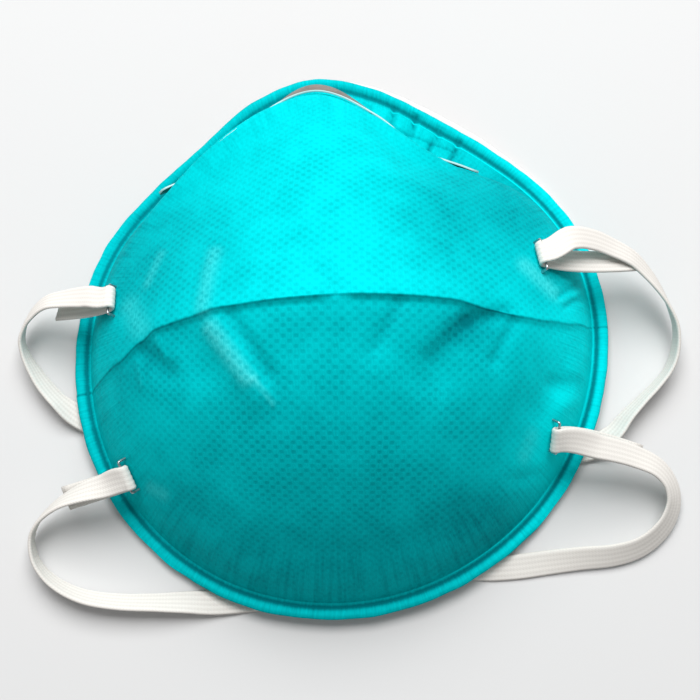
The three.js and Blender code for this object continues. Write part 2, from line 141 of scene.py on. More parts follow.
class Wiring:
    """A new material with its Principled shader, and the few ways in which nodes are added to it."""

    GRAIN_ROUGHNESS = 0.6

    def __init__(self, name: str) -> None:
        """Makes the material with an empty tree.

        Args:
            name: The material's name.
        """
        self.material = bpy.data.materials.new(name)
        self.material.use_nodes = True
        self.tree = self.material.node_tree
        self.tree.nodes.clear()
        self.shader = self.node("ShaderNodeBsdfPrincipled", {}, {})
        output = self.node("ShaderNodeOutputMaterial", {}, {})
        self.tree.links.new(self.shader.outputs["BSDF"], output.inputs["Surface"])

    def node(self, kind: str, settings: dict, sockets: dict) -> bpy.types.Node:
        """Adds a node.

        Args:
            kind: The node's type.
            settings: Its settings, which are set first.
            sockets: Values or links for its inputs, by name or number.

        Returns:
            The new node.
        """
        made = self.tree.nodes.new(kind)
        for name, value in settings.items():
            setattr(made, name, value)
        for name, value in sockets.items():
            self.feed(made.inputs[name], value)
        return made

    def feed(self, socket: Socket, value: object) -> None:
        """Sets an input to a value, or links it.

        Args:
            socket: The input.
            value: A shade or a socket to link, or a number, vector or colour.
        """
        if isinstance(value, Shade):
            value = value.socket
        if isinstance(value, Socket):
            self.tree.links.new(value, socket)
        elif socket.type == "RGBA" and len(value) == 3:
            socket.default_value = (*value, 1)
        else:
            socket.default_value = value

    def math(self, operation: str, *values: "Shade | float") -> Shade:
        """A Math node on one to three values."""
        made = self.node("ShaderNodeMath", {"operation": operation}, dict(enumerate(values)))
        return Shade(self, made.outputs[0])

    def split(self, vector: Socket) -> list[Shade]:
        """A vector's three numbers."""
        parts = self.node("ShaderNodeSeparateXYZ", {}, {"Vector": vector}).outputs
        return [Shade(self, part) for part in parts]

    def join(self, x: "Shade | float", y: "Shade | float", z: "Shade | float") -> Socket:
        """Three numbers as one vector."""
        return self.node("ShaderNodeCombineXYZ", {}, {"X": x, "Y": y, "Z": z}).outputs["Vector"]

    def place(self) -> Socket:
        """The place on the object, in metres."""
        return self.node("ShaderNodeTexCoord", {}, {}).outputs["Object"]

    def chart(self) -> Socket:
        """The piece's own two coordinates along its surface."""
        return self.node("ShaderNodeUVMap", {"uv_map": CHART}, {}).outputs["UV"]

    def own(self, name: str) -> Shade:
        """A number that the mesh itself carries."""
        return Shade(self, self.node("ShaderNodeAttribute", {"attribute_name": name}, {}).outputs["Fac"])

    def grain(
        self, vector: Socket, size: float, stretch: Sequence[float] = (1, 1, 1), detail: float = 3
    ) -> Shade:
        """Noise from 0 to 1.

        Args:
            vector: Where it is read.
            size: The size of its blotches, in metres.
            stretch: How much longer it is along each axis.
            detail: How many finer layers it has.

        Returns:
            The noise.
        """
        scale = tuple(1 / share for share in stretch)
        mapped = self.node("ShaderNodeMapping", {}, {"Vector": vector, "Scale": scale}).outputs["Vector"]
        sockets = {"Vector": mapped, "Scale": 1 / size, "Detail": detail, "Roughness": self.GRAIN_ROUGHNESS}
        return Shade(self, self.node("ShaderNodeTexNoise", {}, sockets).outputs["Fac"])

    def mix(self, share: "Shade | float", first: object, second: object) -> Socket:
        """A colour between two others."""
        made = self.node("ShaderNodeMix", {"data_type": "RGBA"}, {0: share, 6: first, 7: second})
        return made.outputs[2]

    def bump(self, height: Shade, depth: float) -> Socket:
        """A normal that follows a height from 0 to 1, over a depth in metres."""
        sockets = {"Height": height, "Distance": depth, "Strength": 1}
        return self.node("ShaderNodeBump", {}, sockets).outputs["Normal"]

    def finish(self, **values: object) -> Material:
        """Feeds the Principled shader.

        Args:
            values: Values or links by its sockets' names, with _ for a space.

        Returns:
            The material.
        """
        for name, value in values.items():
            self.feed(self.shader.inputs[name.replace("_", " ").title().replace("Ior", "IOR")], value)
        return self.material


@dataclass(frozen=True)
class CoverCloth:
    """The teal nonwoven of the cover, with its pressed lattice and its welded flange.

    The painted shade in the flange's groove and the painted highlight on its bead are given by their middle
    and reach on the track. The painted shadow under the ridge's crease and the painted shade of the notch
    where the ridge meets the flange are given by their distance from the ridge, in millimetres.
    """

    light: Colour = (0.0, 0.77, 0.81)
    dark: Colour = (0.0, 0.2, 0.23)
    weld: Colour = (0.0, 0.66, 0.7)
    # the pale colour of wear marks, partly real whitening and partly painted highlight
    wear_and_shading: Colour = (0.14, 0.86, 0.88)
    lattice_across: float = 2.8 * MM
    lattice_along: float = 2.2 * MM
    lattice_turn: float = math.radians(6.2)
    dome_radius: float = 60 * MM
    dome_stretch: float = 0.22
    drawn_scale: float = 60
    fibre: float = 0.34 * MM
    blotch: float = 8 * MM
    relief: float = 0.08 * MM
    groove: Span = (1.28, 0.26)
    bead: Span = (1.06, 0.06)
    ridge_shadow: Span = (-0.35, 0.5)
    notch: Span = (0, 0.5)

    def lattice(self, x: Shade, y: Shade) -> Shade:
        """The pressed dots, in rows that spread as the dome falls away.

        Args:
            x: The place across, in metres.
            y: The place towards the nose, in metres.

        Returns:
            1 in the middle of a dot and 0 between the dots.
        """
        cosine, sine = math.cos(self.lattice_turn), math.sin(self.lattice_turn)
        spread = (x * x + y * y) * (self.dome_stretch / self.dome_radius**2) + 1
        column = ((x * cosine - y * sine) * spread).wave(self.lattice_across)
        row = ((x * sine + y * cosine) * spread).wave(self.lattice_along)
        return (column * row).between(-0.2, 0.95)

    def material(self) -> Material:
        """Wires the cloth: the dome and the flange as two colours with painted shade and painted light in
        them, and pale marks of wear and painted highlight over both.

        Returns:
            The material.
        """
        wiring = Wiring("cover_cloth")
        place = wiring.place()
        x, y, _ = wiring.split(place)
        track = wiring.split(wiring.chart())[1]
        ridge = wiring.own("ridge")
        flange = track.between(1, 1.04)
        dome = 1 - flange

        fibres = wiring.grain(place, self.fibre, (1, 4, 3), 4)
        blotches = wiring.grain(place, self.blotch, detail=2).between(0.3, 0.7)
        around = wiring.node("ShaderNodeVectorMath", {"operation": "NORMALIZE"}, {0: wiring.join(x, y, 0)})
        turn_x, turn_y = (part * self.drawn_scale for part in wiring.split(around.outputs[0])[:2])
        drawn = wiring.grain(wiring.join(turn_x, turn_y, track * 5), 1.1, detail=2)
        streaks = drawn.between(0.4, 0.7) * track.between(0.72, 0.95) * dome
        ribs = wiring.grain(wiring.join(turn_x, turn_y, track * 0.6), 0.5, detail=1)

        pressed = self.lattice(x, y) * dome * (1 - track.between(0.55, 1) * 0.6)
        pressed = pressed * (fibres * 1.2 + 0.1 + blotches * 0.5)
        # painted shadow: a thin dark line along the ridge's crease, where the nose panel's lip shades the
        # chin panel
        ridge_shadow = ridge.near(*self.ridge_shadow) * dome
        # painted shade: the chin panel below the ridge is darkened, as it faces away from the light
        chin = dome - ridge.between(-2, -0.2) * dome
        shade = pressed * 0.15 + (1 - fibres) * 0.38 + blotches * 0.1 + streaks * 0.12 + ridge_shadow * 0.36
        # the mesh's dark number is painted shade and painted light: broad patches and the hollows of folds
        # and pleats
        cloth = wiring.mix(shade + chin * 0.1 + wiring.own("dark") + 0.1, self.light, self.dark)

        # painted shade in the flange's groove and in the notch where the ridge meets it, a painted highlight
        # on the bead, and painted light on the +X side of the flange, nearer the light
        groove = track.near(*self.groove)
        bead = track.near(*self.bead) * turn_x.between(10, 30) * ribs.between(0.3, 0.6)
        lit = turn_x.between(10, 55) * (1 - groove)
        notch = ridge.near(*self.notch)
        shade = groove * 0.7 + notch * 0.4 + ribs * 0.5 + (1 - fibres) * 0.3 - bead * 0.45 - lit * 0.3
        rim = wiring.mix(shade, self.weld, self.dark)

        # pale marks along folds: partly real whitening of rubbed cloth and partly a painted highlight
        wear_and_shading = (wiring.own("wear_and_shading") * (0.2 + fibres * 1.1 - pressed * 0.25)).between(0.02, 1)
        height = fibres * 0.5 - pressed * 0.45 + streaks * 0.5 + flange * ribs
        return wiring.finish(
            base_color=wiring.mix(wear_and_shading, wiring.mix(flange, cloth, rim), self.wear_and_shading),
            roughness=0.55 + fibres * 0.2,
            normal=wiring.bump(height, self.relief),
            specular_ior_level=0.01,
        )


@dataclass(frozen=True)
class InnerCloth:
    """The white moulded layer."""

    light: Colour = (0.78, 0.79, 0.78)
    dark: Colour = (0.6, 0.62, 0.62)
    fibre: float = 0.8 * MM
    blotch: float = 9 * MM
    relief: float = 0.2 * MM

    def material(self) -> Material:
        """Wires the layer: long fibres over soft blotches.

        Returns:
            The material.
        """
        wiring = Wiring("inner_cloth")
        place = wiring.place()
        fibres = wiring.grain(place, self.fibre, (2.2, 1, 1), 5)
        blotches = wiring.grain(place, self.blotch, detail=2)
        return wiring.finish(
            base_color=wiring.mix((1 - fibres) * 0.5 + blotches * 0.3 - 0.1, self.light, self.dark),
            roughness=0.8 + fibres * 0.15,
            normal=wiring.bump(fibres, self.relief),
            sheen_weight=0.2,
        )


@dataclass(frozen=True)
class ClipMetal:
    """Soft rolled aluminium strip: its faces are grey-brown as a painted reflection of dim surroundings, and
    its cut edges are bright bare metal tinted pale cyan as a painted reflection of the teal cloth.
    """

    # painted reflection: the face's grey-brown stands in for the dim surroundings seen in the metal
    light: Colour = (0.3, 0.26, 0.23)
    dark: Colour = (0.13, 0.11, 0.1)
    # the bare cut edge, tinted cyan as a painted reflection of the teal cloth
    edge: Colour = (0.45, 0.66, 0.66)
    edge_span: Span = (2.35 * MM, 2.45 * MM)
    line: float = 0.12 * MM
    mark: float = 5 * MM
    relief: float = 0.02 * MM

    def material(self) -> Material:
        """Wires the strip: rolling lines along it, dull marks and the bright edge.

        Returns:
            The material.
        """
        wiring = Wiring("clip_metal")
        chart = wiring.chart()
        across = wiring.split(chart)[0]
        lines = wiring.grain(chart, self.line, (1, 30, 1), 2)
        marks = wiring.grain(chart, self.mark)
        face = wiring.mix(lines * 0.35 + marks.between(0.4, 0.8) * 0.5, self.light, self.dark)
        edge = across.size().between(*self.edge_span)
        return wiring.finish(
            base_color=wiring.mix(edge, face, self.edge),
            metallic=0.6 - edge * 0.3,
            roughness=0.5 + lines * 0.2,
            normal=wiring.bump(lines, self.relief),
        )


@dataclass(frozen=True)
class Elastic:
    """Off-white knitted elastic: lengthwise ribs with small knit loops between them."""

    light: Colour = (0.76, 0.735, 0.695)
    dark: Colour = (0.52, 0.49, 0.45)
    rib: float = 1.18 * MM
    loop: float = 0.75 * MM
    yarn: float = 0.25 * MM
    relief: float = 0.08 * MM

    def material(self) -> Material:
        """Wires the elastic: ribs, slanting loops and the yarn's own fuzz.

        Returns:
            The material.
        """
        wiring = Wiring("elastic")
        chart = wiring.chart()
        across, along, _ = wiring.split(chart)
        rib_wave = across.wave(self.rib)
        ribs = rib_wave * 0.5 + 0.5
        loops = (rib_wave.size() * (0.5 * self.loop) + along).wave(self.loop) * 0.5 + 0.5
        yarn = wiring.grain(chart, self.yarn, (1, 2, 1))
        shade = (1 - ribs) * 0.3 + (1 - loops) * 0.14 + (1 - yarn) * 0.25 - 0.1
        return wiring.finish(
            base_color=wiring.mix(shade, self.light, self.dark),
            roughness=0.85,
            normal=wiring.bump(ribs * 0.6 + loops * 0.35 + yarn * 0.3, self.relief),
            specular_ior_level=0.2,
        )


@dataclass(frozen=True)
class StapleSteel:
    """Bright drawn wire."""

    light: Colour = (0.5, 0.5, 0.51)
    dark: Colour = (0.22, 0.22, 0.23)
    mark: float = 0.5 * MM
    relief: float = 0.02 * MM

    def material(self) -> Material:
        """Wires the steel with its small drawing marks.

        Returns:
            The material.
        """
        wiring = Wiring("staple_wire")
        marks = wiring.grain(wiring.place(), self.mark)
        return wiring.finish(
            base_color=wiring.mix(marks.between(0.4, 0.75), self.light, self.dark),
            metallic=1.0,
            roughness=0.22 + marks * 0.2,
            normal=wiring.bump(marks, self.relief),
        )


@dataclass(frozen=True)
class StudioPaper:
    """The plain pale floor."""

    colour: Colour = (0.63, 0.63, 0.63)

    def material(self) -> Material:
        """The paper's material."""
        return Wiring("studio_paper").finish(base_color=self.colour, roughness=0.9)


KNEE = 0.94  # where the profile's steepest stretch begins
TOE = 0.985  # where it ends


class RimRow(NamedTuple):
    """One direction from the crest: the rim there, and the steep wall inside it.

    The knee and the toe are the shares of the way out where the wall's steepest stretch begins and
    ends, and the hood is how far the dome bulges over it.
    """

    radius: float
    lift: float
    peek: float
    knee: float = KNEE
    toe: float = TOE
    hood: float = 0


class ProfileRow(NamedTuple):
    """The dome's height as a share, at a share of the way out to the wall's foot."""

    out: float
    nose: float
    side: float
    chin: float


class Fold(NamedTuple):
    """A soft fold or dent between two places in plan, with its half width and height.

    Where its last column is above 0 the cloth is fluffed up and paler along it, partly real wear and partly a
    painted highlight on the fold; below 0 it is darker, as painted shade in the fold's hollow.
    """

    from_x: float
    from_y: float
    to_x: float
    to_y: float
    half_width: float
    height: float
    wear_and_shading: float = 0


class ShadePatch(NamedTuple):
    """A broad place of painted shade, where the cloth is painted darker to stand in for less light, and of
    painted light where its dark number is below 0.
    """

    x: float
    y: float
    half_x: float
    half_y: float
    dark: float


class DroopRow(NamedTuple):
    """How far the ridge turns towards the chin, in degrees, on its way out to either side."""

    out: float
    left: float
    right: float


RIM = (
    RimRow(64.2, 0.6, -0.3),
    RimRow(63.6, -0.2, 0.5),
    RimRow(61.6, -0.2, 1.5, 0.93, 0.975),
    RimRow(59.2, 1.2, 2.2, 0.87, 0.91),
    RimRow(58.6, 3.2, 2.4, 0.825, 0.86, 2.4),
    RimRow(61.1, 5.4, 1.9, 0.88, 0.92, 0.9),
    RimRow(63.6, 6.5, 1, 0.935, 0.975),
    RimRow(61.6, 5.4, 0.5, 0.92, 0.955, 2.2),
    RimRow(58.5, 3.2, 0.4, 0.92, 0.95, 3.4),
    RimRow(59.2, 1.2, -0.2, 0.93, 0.97, 1.6),
    RimRow(61.9, -0.2, -0.4),
    RimRow(63.8, -0.2, -0.5),
    RimRow(65.0, 1.2, -0.5),
    RimRow(66.4, 2.2, -0.5),
    RimRow(67.9, 0.9, -0.5),
    RimRow(68.5, -0.8, -0.5),
    RimRow(68.6, 2.0, -0.5),
    RimRow(68.1, 2.4, -0.5),
    RimRow(67.4, 2.2, -0.4),
    RimRow(66.5, 2.4, -0.3),
    RimRow(65.7, 1.9, 0.2),
    RimRow(65.2, -0.8, 0.0),
    RimRow(64.5, 1.7, -0.4),
    RimRow(64.2, 1.8, -0.5),
)

PROFILE = (
    ProfileRow(0, 1, 1, 1),
    ProfileRow(0.08, 0.95, 0.992, 0.98),
    ProfileRow(0.18, 0.885, 0.972, 0.94),
    ProfileRow(0.3, 0.8, 0.93, 0.88),
    ProfileRow(0.42, 0.71, 0.867, 0.8),
    ProfileRow(0.54, 0.61, 0.78, 0.7),
    ProfileRow(0.65, 0.515, 0.675, 0.58),
    ProfileRow(0.75, 0.428, 0.555, 0.46),
    ProfileRow(0.83, 0.357, 0.437, 0.35),
    ProfileRow(0.89, 0.3, 0.328, 0.262),
    ProfileRow(0.935, 0.247, 0.228, 0.183),
    ProfileRow(0.965, 0.165, 0.142, 0.116),
    ProfileRow(0.985, 0.082, 0.066, 0.058),
    ProfileRow(1, 0, 0, 0),
)

MAIN_FOLDS = (
    Fold(-25.5, 12, -26, 1, 2.8, 0.8),
    Fold(-25, -3, -19, -17, 3, 1),
    Fold(-34, -2, -30, -9, 4.5, -1.2),
    Fold(34, -4, 19, -16, 4.5, -1.3),
    Fold(41, -8, 33, -24, 4.5, 0.7),
    Fold(13, -1, 6, -11, 2.5, -0.5),
    Fold(50, -14, 44, -23, 4.5, -1),
)

# the last column paints the cloth paler along a fold above 0 (partly real wear, partly painted highlight) and
# darker below 0 (painted shade in its hollow)
SMALL_FOLDS = (
    Fold(-22.6, 0.3, -16, -12.5, 1.8, -0.8, -0.14),
    Fold(-27, -1, -20.5, -12.5, 2.2, 0.5, 0.5),
    Fold(-19, -13, -15.5, -18.5, 0.8, 0.25, 0.35),
    Fold(-25.5, 17, -28.4, 4, 2.3, 0.4, 0.35),
    Fold(-43.5, -2.5, -38.5, -8, 2.6, -1, -0.15),
    Fold(-40.5, 0, -38.5, -5, 0.5, 0.3, 0.15),
    Fold(-45.7, -3.5, -45, -9.4, 0.7, 0.3, 0.15),
    Fold(-38.5, 21, -42, 14, 1.5, 0.15, 0.3),
    Fold(37, -3, 28, -5.5, 1.7, -0.7, -0.2),
    Fold(28, -5.5, 19, -12.5, 2, -0.6, -0.15),
    Fold(38.4, -5.5, 33, -13.5, 1.4, -0.6, -0.12),
    Fold(13.6, -0.9, 7.5, -10, 1.1, -0.4, -0.1),
    Fold(51, 1.5, 58.5, 7, 0.9, -0.5, -0.12),
    Fold(52, -0.5, 59, 3.5, 0.9, -0.4, -0.1),
    Fold(51.5, 0.6, 58.8, 5.2, 0.8, 0.4, 0.1),
    Fold(47, -18, 54, -17.5, 2, -0.6, -0.2),
    Fold(49, -23, 54, -21.5, 2, 0.4),
    Fold(37.4, -38.1, 44, -37.5, 1.6, -0.4, -0.08),
    Fold(-47, 10, -44, 3, 3.5, 0, 0.3),
    Fold(43.5, 8.5, 49.5, 2.5, 2.6, 0, 0.4),
    Fold(-47, -31, -44, -33, 2, 0, 0.3),
    Fold(41, -29, 38.8, -33.3, 2.5, 0, 0.25),
)

# pleats in the wall beside the clip; their last column darkens them, as painted shade in their hollows
PLEATS = (
    Fold(12, 49, 13.2, 57, 0.45, -0.5, -0.3),
    Fold(16, 47, 19, 56, 0.5, -0.8, -0.6),
    Fold(20.3, 45, 24.5, 54, 0.5, -0.8, -0.6),
    Fold(25, 42, 30, 50.5, 0.5, -0.8, -0.6),
    Fold(29.5, 39, 34.5, 47, 0.5, -0.6, -0.45),
    Fold(14, 52.5, 32, 44.5, 0.35, -0.3, -0.25),
)

# painted shade and painted light: broad places darkened where less light falls, and brightened below 0 where
# a cast shadow would be too dark
SHADE_PATCHES = (
    ShadePatch(-44, 24, 18, 22, 0.36),
    ShadePatch(41, 26, 18, 17, 0.42),
    ShadePatch(24, 18, 9, 14, 0.2),
    ShadePatch(-23, 15, 6, 12, 0.16),
    ShadePatch(47, 3, 9, 8, 0.16),
    ShadePatch(-46, -4, 8, 8, 0.2),
    ShadePatch(0, -3, 16, 4, 0.12),
    ShadePatch(54, -18, 11, 20, -0.5),
    ShadePatch(50, -29, 7, 6, -0.55),
    ShadePatch(44, -36, 12, 8, -0.35),
    ShadePatch(0, -50, 52, 14, 0.27),
    ShadePatch(-38, -36, 10, 10, 0.12),
    ShadePatch(28, -44, 10, 8, 0.2),
    ShadePatch(29, -7, 11, 5, 0.25),
    ShadePatch(-5, -25, 30, 12, 0.14),
)

DROOP = (
    DroopRow(0, -2, 5),
    DroopRow(0.2, -3, 5.3),
    DroopRow(0.4, -2.5, 6),
    DroopRow(0.55, -1, 8.3),
    DroopRow(0.66, -0.2, 8.8),
    DroopRow(0.73, 2.3, 8.5),
    DroopRow(0.83, 5.2, 7.4),
    DroopRow(0.96, 6.9, 5.6),
    DroopRow(1, 7, 4.5),
)


def curve_between(
    share: float, start: Vector | float, end: Vector | float, leaves: Vector | float, arrives: Vector | float
) -> Vector | float:
    """A smooth curve's value at a share of its way.

    Args:
        share: The share of the way.
        start: Its first value, a number or a point.
        end: Its last value.
        leaves: Its slope at the start, over the whole way.
        arrives: Its slope at the end.

    Returns:
        The value.
    """
    cubed = 2 * start - 2 * end + leaves + arrives
    squared = -3 * start + 3 * end - 2 * leaves - arrives
    return ((cubed * share + squared) * share + leaves) * share + start


def bow(share: float, start: Vector, corner: Vector, end: Vector) -> Vector:
    """A point of the curve that bends from start to end round a corner."""
    return start * (1 - share) ** 2 + corner * (2 * share * (1 - share)) + end * share**2


def bell(value: float, middle: float, reach: float) -> float:
    """Is 1 at the middle and falls off smoothly on either side."""
    return math.exp(-(((value - middle) / reach) ** 2))


def step_between(value: float, low: float, high: float) -> float:
    """Goes smoothly from 0 at low to 1 at high."""
    share = min(max((value - low) / (high - low), 0), 1)
    return share * share * (3 - 2 * share)


def level_way(angle: float) -> Vector:
    """The level direction at an angle."""
    return Vector((math.cos(angle), math.sin(angle), 0))


def row_after(rows: Sequence[ProfileRow | DroopRow], out: float) -> int:
    """The number of the first row, past row 0, that is at least this far out."""
    return max(next((at for at, row in enumerate(rows) if row.out >= out), len(rows) - 1), 1)


@dataclass
class ShellForm:
    """The shell's shape as a function of the angle about the crest and the track outwards.

    The track is 0 at the crest, 1 at the foot of the wall and 2 at the flange's outer edge. The
    fields that end in fade, rise or fall are the two places between which a form comes or goes.
    """

    crest_x: float = 0.5
    crest_y: float = 2
    crest_height: float = 52
    nose_fullness: float = 0.6
    chin_fullness: float = 0.3
    flange_width: float = 3.9
    cover_thickness: float = 1
    layer_gap: float = 0.4
    inner_thickness: float = 1
    sheet: float = 0.75
    wall_starts: float = 0.6
    hood_rise: Span = (0.86, 0.925)
    hood_fall: Span = (0.93, 0.955)
    folds_fade: Span = (0.85, 0.97)
    fold_reach: float = 3
    lip_height: float = 0.6
    lip_width: float = 0.9
    step_depth: float = 0.55
    step_width: float = 4
    ridge_fade: Span = (0.92, 1)
    crest_fade: Span = (0, 4)
    groove_depth: float = 0.5
    groove_middle: float = 0.3
    groove_reach: float = 0.14
    bead_height: float = 0.3
    bead_middle: float = 0.72
    bead_reach: float = 0.2
    edge_rounding: float = 0.5
    edge_starts: float = 0.7
    nudge: float = 0.012
    crest_gap: float = 0.001
    least_turned: float = 0.05
    folds: Sequence[Fold] = MAIN_FOLDS

    @property
    def inner_top(self) -> float:
        """The depth of the inner layer's top face below the outer face."""
        return self.cover_thickness + self.layer_gap

    @property
    def wall(self) -> float:
        """The depth of the inner layer's hollow face below the outer face."""
        return self.inner_top + self.inner_thickness

    @staticmethod
    def rim_rows(angle: float) -> tuple[float, list[RimRow]]:
        """Looks an angle up in the rim's table.

        Args:
            angle: The angle about the crest.

        Returns:
            The share of the way between two rows, and the two rows between their neighbours.
        """
        place = (math.degrees(angle) % 360) / 360 * len(RIM)
        row = int(place)
        return place - row, [RIM[(row + step) % len(RIM)] for step in (-1, 0, 1, 2)]

    def rim(self, column: str, angle: float) -> float:
        """A smooth column of the rim's table.

        Args:
            column: The column's name.
            angle: The angle about the crest.

        Returns:
            Its value there.
        """
        share, rows = self.rim_rows(angle)
        before, start, end, beyond = (getattr(row, column) for row in rows)
        return curve_between(share, start, end, (end - before) / 2, (beyond - start) / 2)

    def lift(self, angle: float) -> float:
        """How far the rim is off the surface at an angle."""
        share, rows = self.rim_rows(angle)
        return max(rows[1].lift + (rows[2].lift - rows[1].lift) * share, 0)

    @staticmethod
    def droop(angle: float, out: float) -> float:
        """How far the ridge has turned towards the chin.

        Args:
            angle: The angle about the crest.
            out: The share of the way out.

        Returns:
            The turn in radians.
        """
        after = row_after(DROOP, out)
        low, high = DROOP[after - 1], DROOP[after]
        share = step_between(out, low.out, high.out)
        cosine = math.cos(angle)
        column = "right" if cosine > 0 else "left"
        turn = getattr(low, column) * (1 - share) + getattr(high, column) * share
        return math.radians(turn) * cosine

    def wall_share(self, angle: float, out: float) -> float:
        """Moves the profile's steep stretch between the knee and the toe of this direction.

        Args:
            angle: The angle about the crest.
            out: The share of the way out.

        Returns:
            The place in the profile's table.
        """
        knee, toe = self.rim("knee", angle), self.rim("toe", angle)
        if out < knee:
            return out + (KNEE - knee) * step_between(out, self.wall_starts, knee)
        if out < toe:
            return KNEE + (out - knee) * (TOE - KNEE) / (toe - knee)
        return TOE + (out - toe) * (1 - TOE) / (1 - toe)

    @staticmethod
    def profile(column: str, out: float) -> float:
        """One column of the profile's table on a smooth curve.

        Args:
            column: The column's name.
            out: The share of the way out.

        Returns:
            The height as a share.
        """
        after = row_after(PROFILE, out)
        low, high = PROFILE[after - 1], PROFILE[after]
        before, beyond = PROFILE[max(after - 2, 0)], PROFILE[min(after + 1, len(PROFILE) - 1)]
        start, end = getattr(low, column), getattr(high, column)
        span = high.out - low.out
        leaves = (end - getattr(before, column)) / (high.out - before.out) * span
        arrives = (getattr(beyond, column) - start) / (beyond.out - low.out) * span
        return curve_between((out - low.out) / span, start, end, leaves, arrives)

    def fold_height(self, folds: Sequence[Fold], x: float, y: float, column: str = "height") -> float:
        """Adds up the folds at a place in plan.

        Args:
            folds: The folds.
            x: The place across.
            y: The place towards the nose.
            column: What is added up: their height, or their wear and painted light and shade.

        Returns:
            The sum.
        """
        total = 0.0
        for fold in folds:
            run_x, run_y = fold.to_x - fold.from_x, fold.to_y - fold.from_y
            from_x, from_y = x - fold.from_x, y - fold.from_y
            share = (from_x * run_x + from_y * run_y) / (run_x * run_x + run_y * run_y)
            share = min(max(share, 0), 1)
            away = math.hypot(from_x - run_x * share, from_y - run_y * share) / fold.half_width
            if away < self.fold_reach:
                total += getattr(fold, column) * bell(away, 0, 1)
        return total

    def ridge_turn(self, angle: float, out: float) -> float:
        """The sine of the angle from the ridge: above 0 in the nose panel, below in the chin panel."""
        return math.sin(angle + self.droop(angle, out))

    def from_crest(self, angle: float, radius: float, height: float) -> Vector:
        """A point by its angle about the crest, its distance from it in plan, and its height."""
        return Vector((self.crest_x, self.crest_y, height)) + level_way(angle) * radius

    def dome(self, angle: float, out: float) -> Vector:
        """A point of the cover's outer face.

        Args:
            angle: The angle about the crest.
            out: The share of the way out to the wall's foot.

        Returns:
            The point.
        """
        foot = self.rim("radius", angle) - self.flange_width
        edge = self.lift(angle) + self.wall
        side = self.ridge_turn(angle, out)
        panel = Panel.NOSE if side > 0 else Panel.CHIN
        fullness = (self.nose_fullness if side > 0 else self.chin_fullness) * out
        turn = 1 - (1 - abs(side)) ** (1 + fullness)
        place = self.wall_share(angle, out)
        share = self.profile("side", place) * (1 - turn) + self.profile(panel.value, place) * turn
        hood = step_between(place, *self.hood_rise) * (1 - step_between(place, *self.hood_fall))
        hood *= max(self.rim("hood", angle), 0)
        point = self.from_crest(angle, foot * out + hood, edge + (self.crest_height - edge) * share)
        folds = self.fold_height(self.folds, point.x, point.y) * (1 - step_between(out, *self.folds_fade))
        return point + UP * (folds + self.ridge_relief(side, foot * out, out))

    def ridge_relief(self, side: float, radius: float, out: float) -> float:
        """The pressed lip along the ridge, and the step down from it towards the chin.

        Args:
            side: The sine of the angle from the ridge.
            radius: The distance from the crest.
            out: The share of the way out.

        Returns:
            The height that they add.
        """
        away = side * radius
        lip = self.lip_height * bell(min(away, 0), 0, self.lip_width)
        lip *= math.exp(-max(away, 0) / self.step_width)
        step = self.step_depth * math.exp(min(away, 0) / self.step_width)
        step *= step_between(-away, 0, self.lip_width * 2)
        fade = (1 - step_between(out, *self.ridge_fade)) * step_between(radius, *self.crest_fade)
        return (lip - step) * fade

    def flange(self, angle: float, across: float) -> Vector:
        """A point of the flange's top face, with its groove, bead and rounded edge.

        Args:
            angle: The angle about the crest.
            across: The share of the flange's width.

        Returns:
            The point.
        """
        groove = self.groove_depth * bell(across, self.groove_middle, self.groove_reach)
        bead = self.bead_height * bell(across, self.bead_middle, self.bead_reach)
        rounding = self.edge_rounding * max(0, (across - self.edge_starts) / (1 - self.edge_starts)) ** 2
        height = self.lift(angle) + self.wall - groove + bead - rounding
        return self.from_crest(angle, self.rim("radius", angle) - self.flange_width * (1 - across), height)

    def face(self, angle: float, track: float) -> Vector:
        """A point of the outer face by its track."""
        return self.dome(angle, track) if track <= 1 else self.flange(angle, track - 1)

    def outward(self, angle: float, track: float) -> Vector:
        """The direction out of the shell at a point of the outer face.

        Args:
            angle: The angle about the crest.
            track: The point's track, above 0.

        Returns:
            The direction.
        """
        inner, outer = max(track - self.nudge, self.crest_gap / 2), min(track + self.nudge, 2)
        along = self.face(angle, outer) - self.face(angle, inner)
        turn = self.nudge / max(min(track, 1), self.least_turned)
        track = max(track, self.crest_gap)
        return along.cross(self.face(angle + turn, track) - self.face(angle - turn, track)).normalized()


def new_object(name: str, bm: BMesh, material: Material) -> Object:
    """Turns a finished bmesh into an object of the scene, and frees it.

    Args:
        name: The object's name.
        bm: Its mesh, in metres in the part's frame.
        material: Its finish.

    Returns:
        The new object.
    """
    mesh = bpy.data.meshes.new(name)
    bm.to_mesh(mesh)
    bm.free()
    mesh.materials.append(material)
    made = bpy.data.objects.new(name, mesh)
    bpy.context.scene.collection.objects.link(made)
    return made


def new_piece(name: str, bm: BMesh, material: Material, slot: Slot) -> Object:
    """Turns a finished bmesh into a smooth piece that rides on the body.

    Args:
        name: The piece's name.
        bm: Its mesh, in metres in the part's frame.
        material: Its finish.
        slot: The record's material slot; not used.

    Returns:
        The new piece.
    """
    for face in bm.faces:
        face.smooth = True
    piece = new_object(name, bm, material)
    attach(piece, BODY)
    return piece


def distances(points: Sequence[Vector]) -> list[float]:
    """How far along a line of points each of them is."""
    steps = ((after - before).length for before, after in zip(points, points[1:]))
    return list(accumulate(steps, initial=0.0))


class Station(NamedTuple):
    """A place along a swept piece: its middle and the direction of its section's first axis."""

    point: Vector
    across: Vector


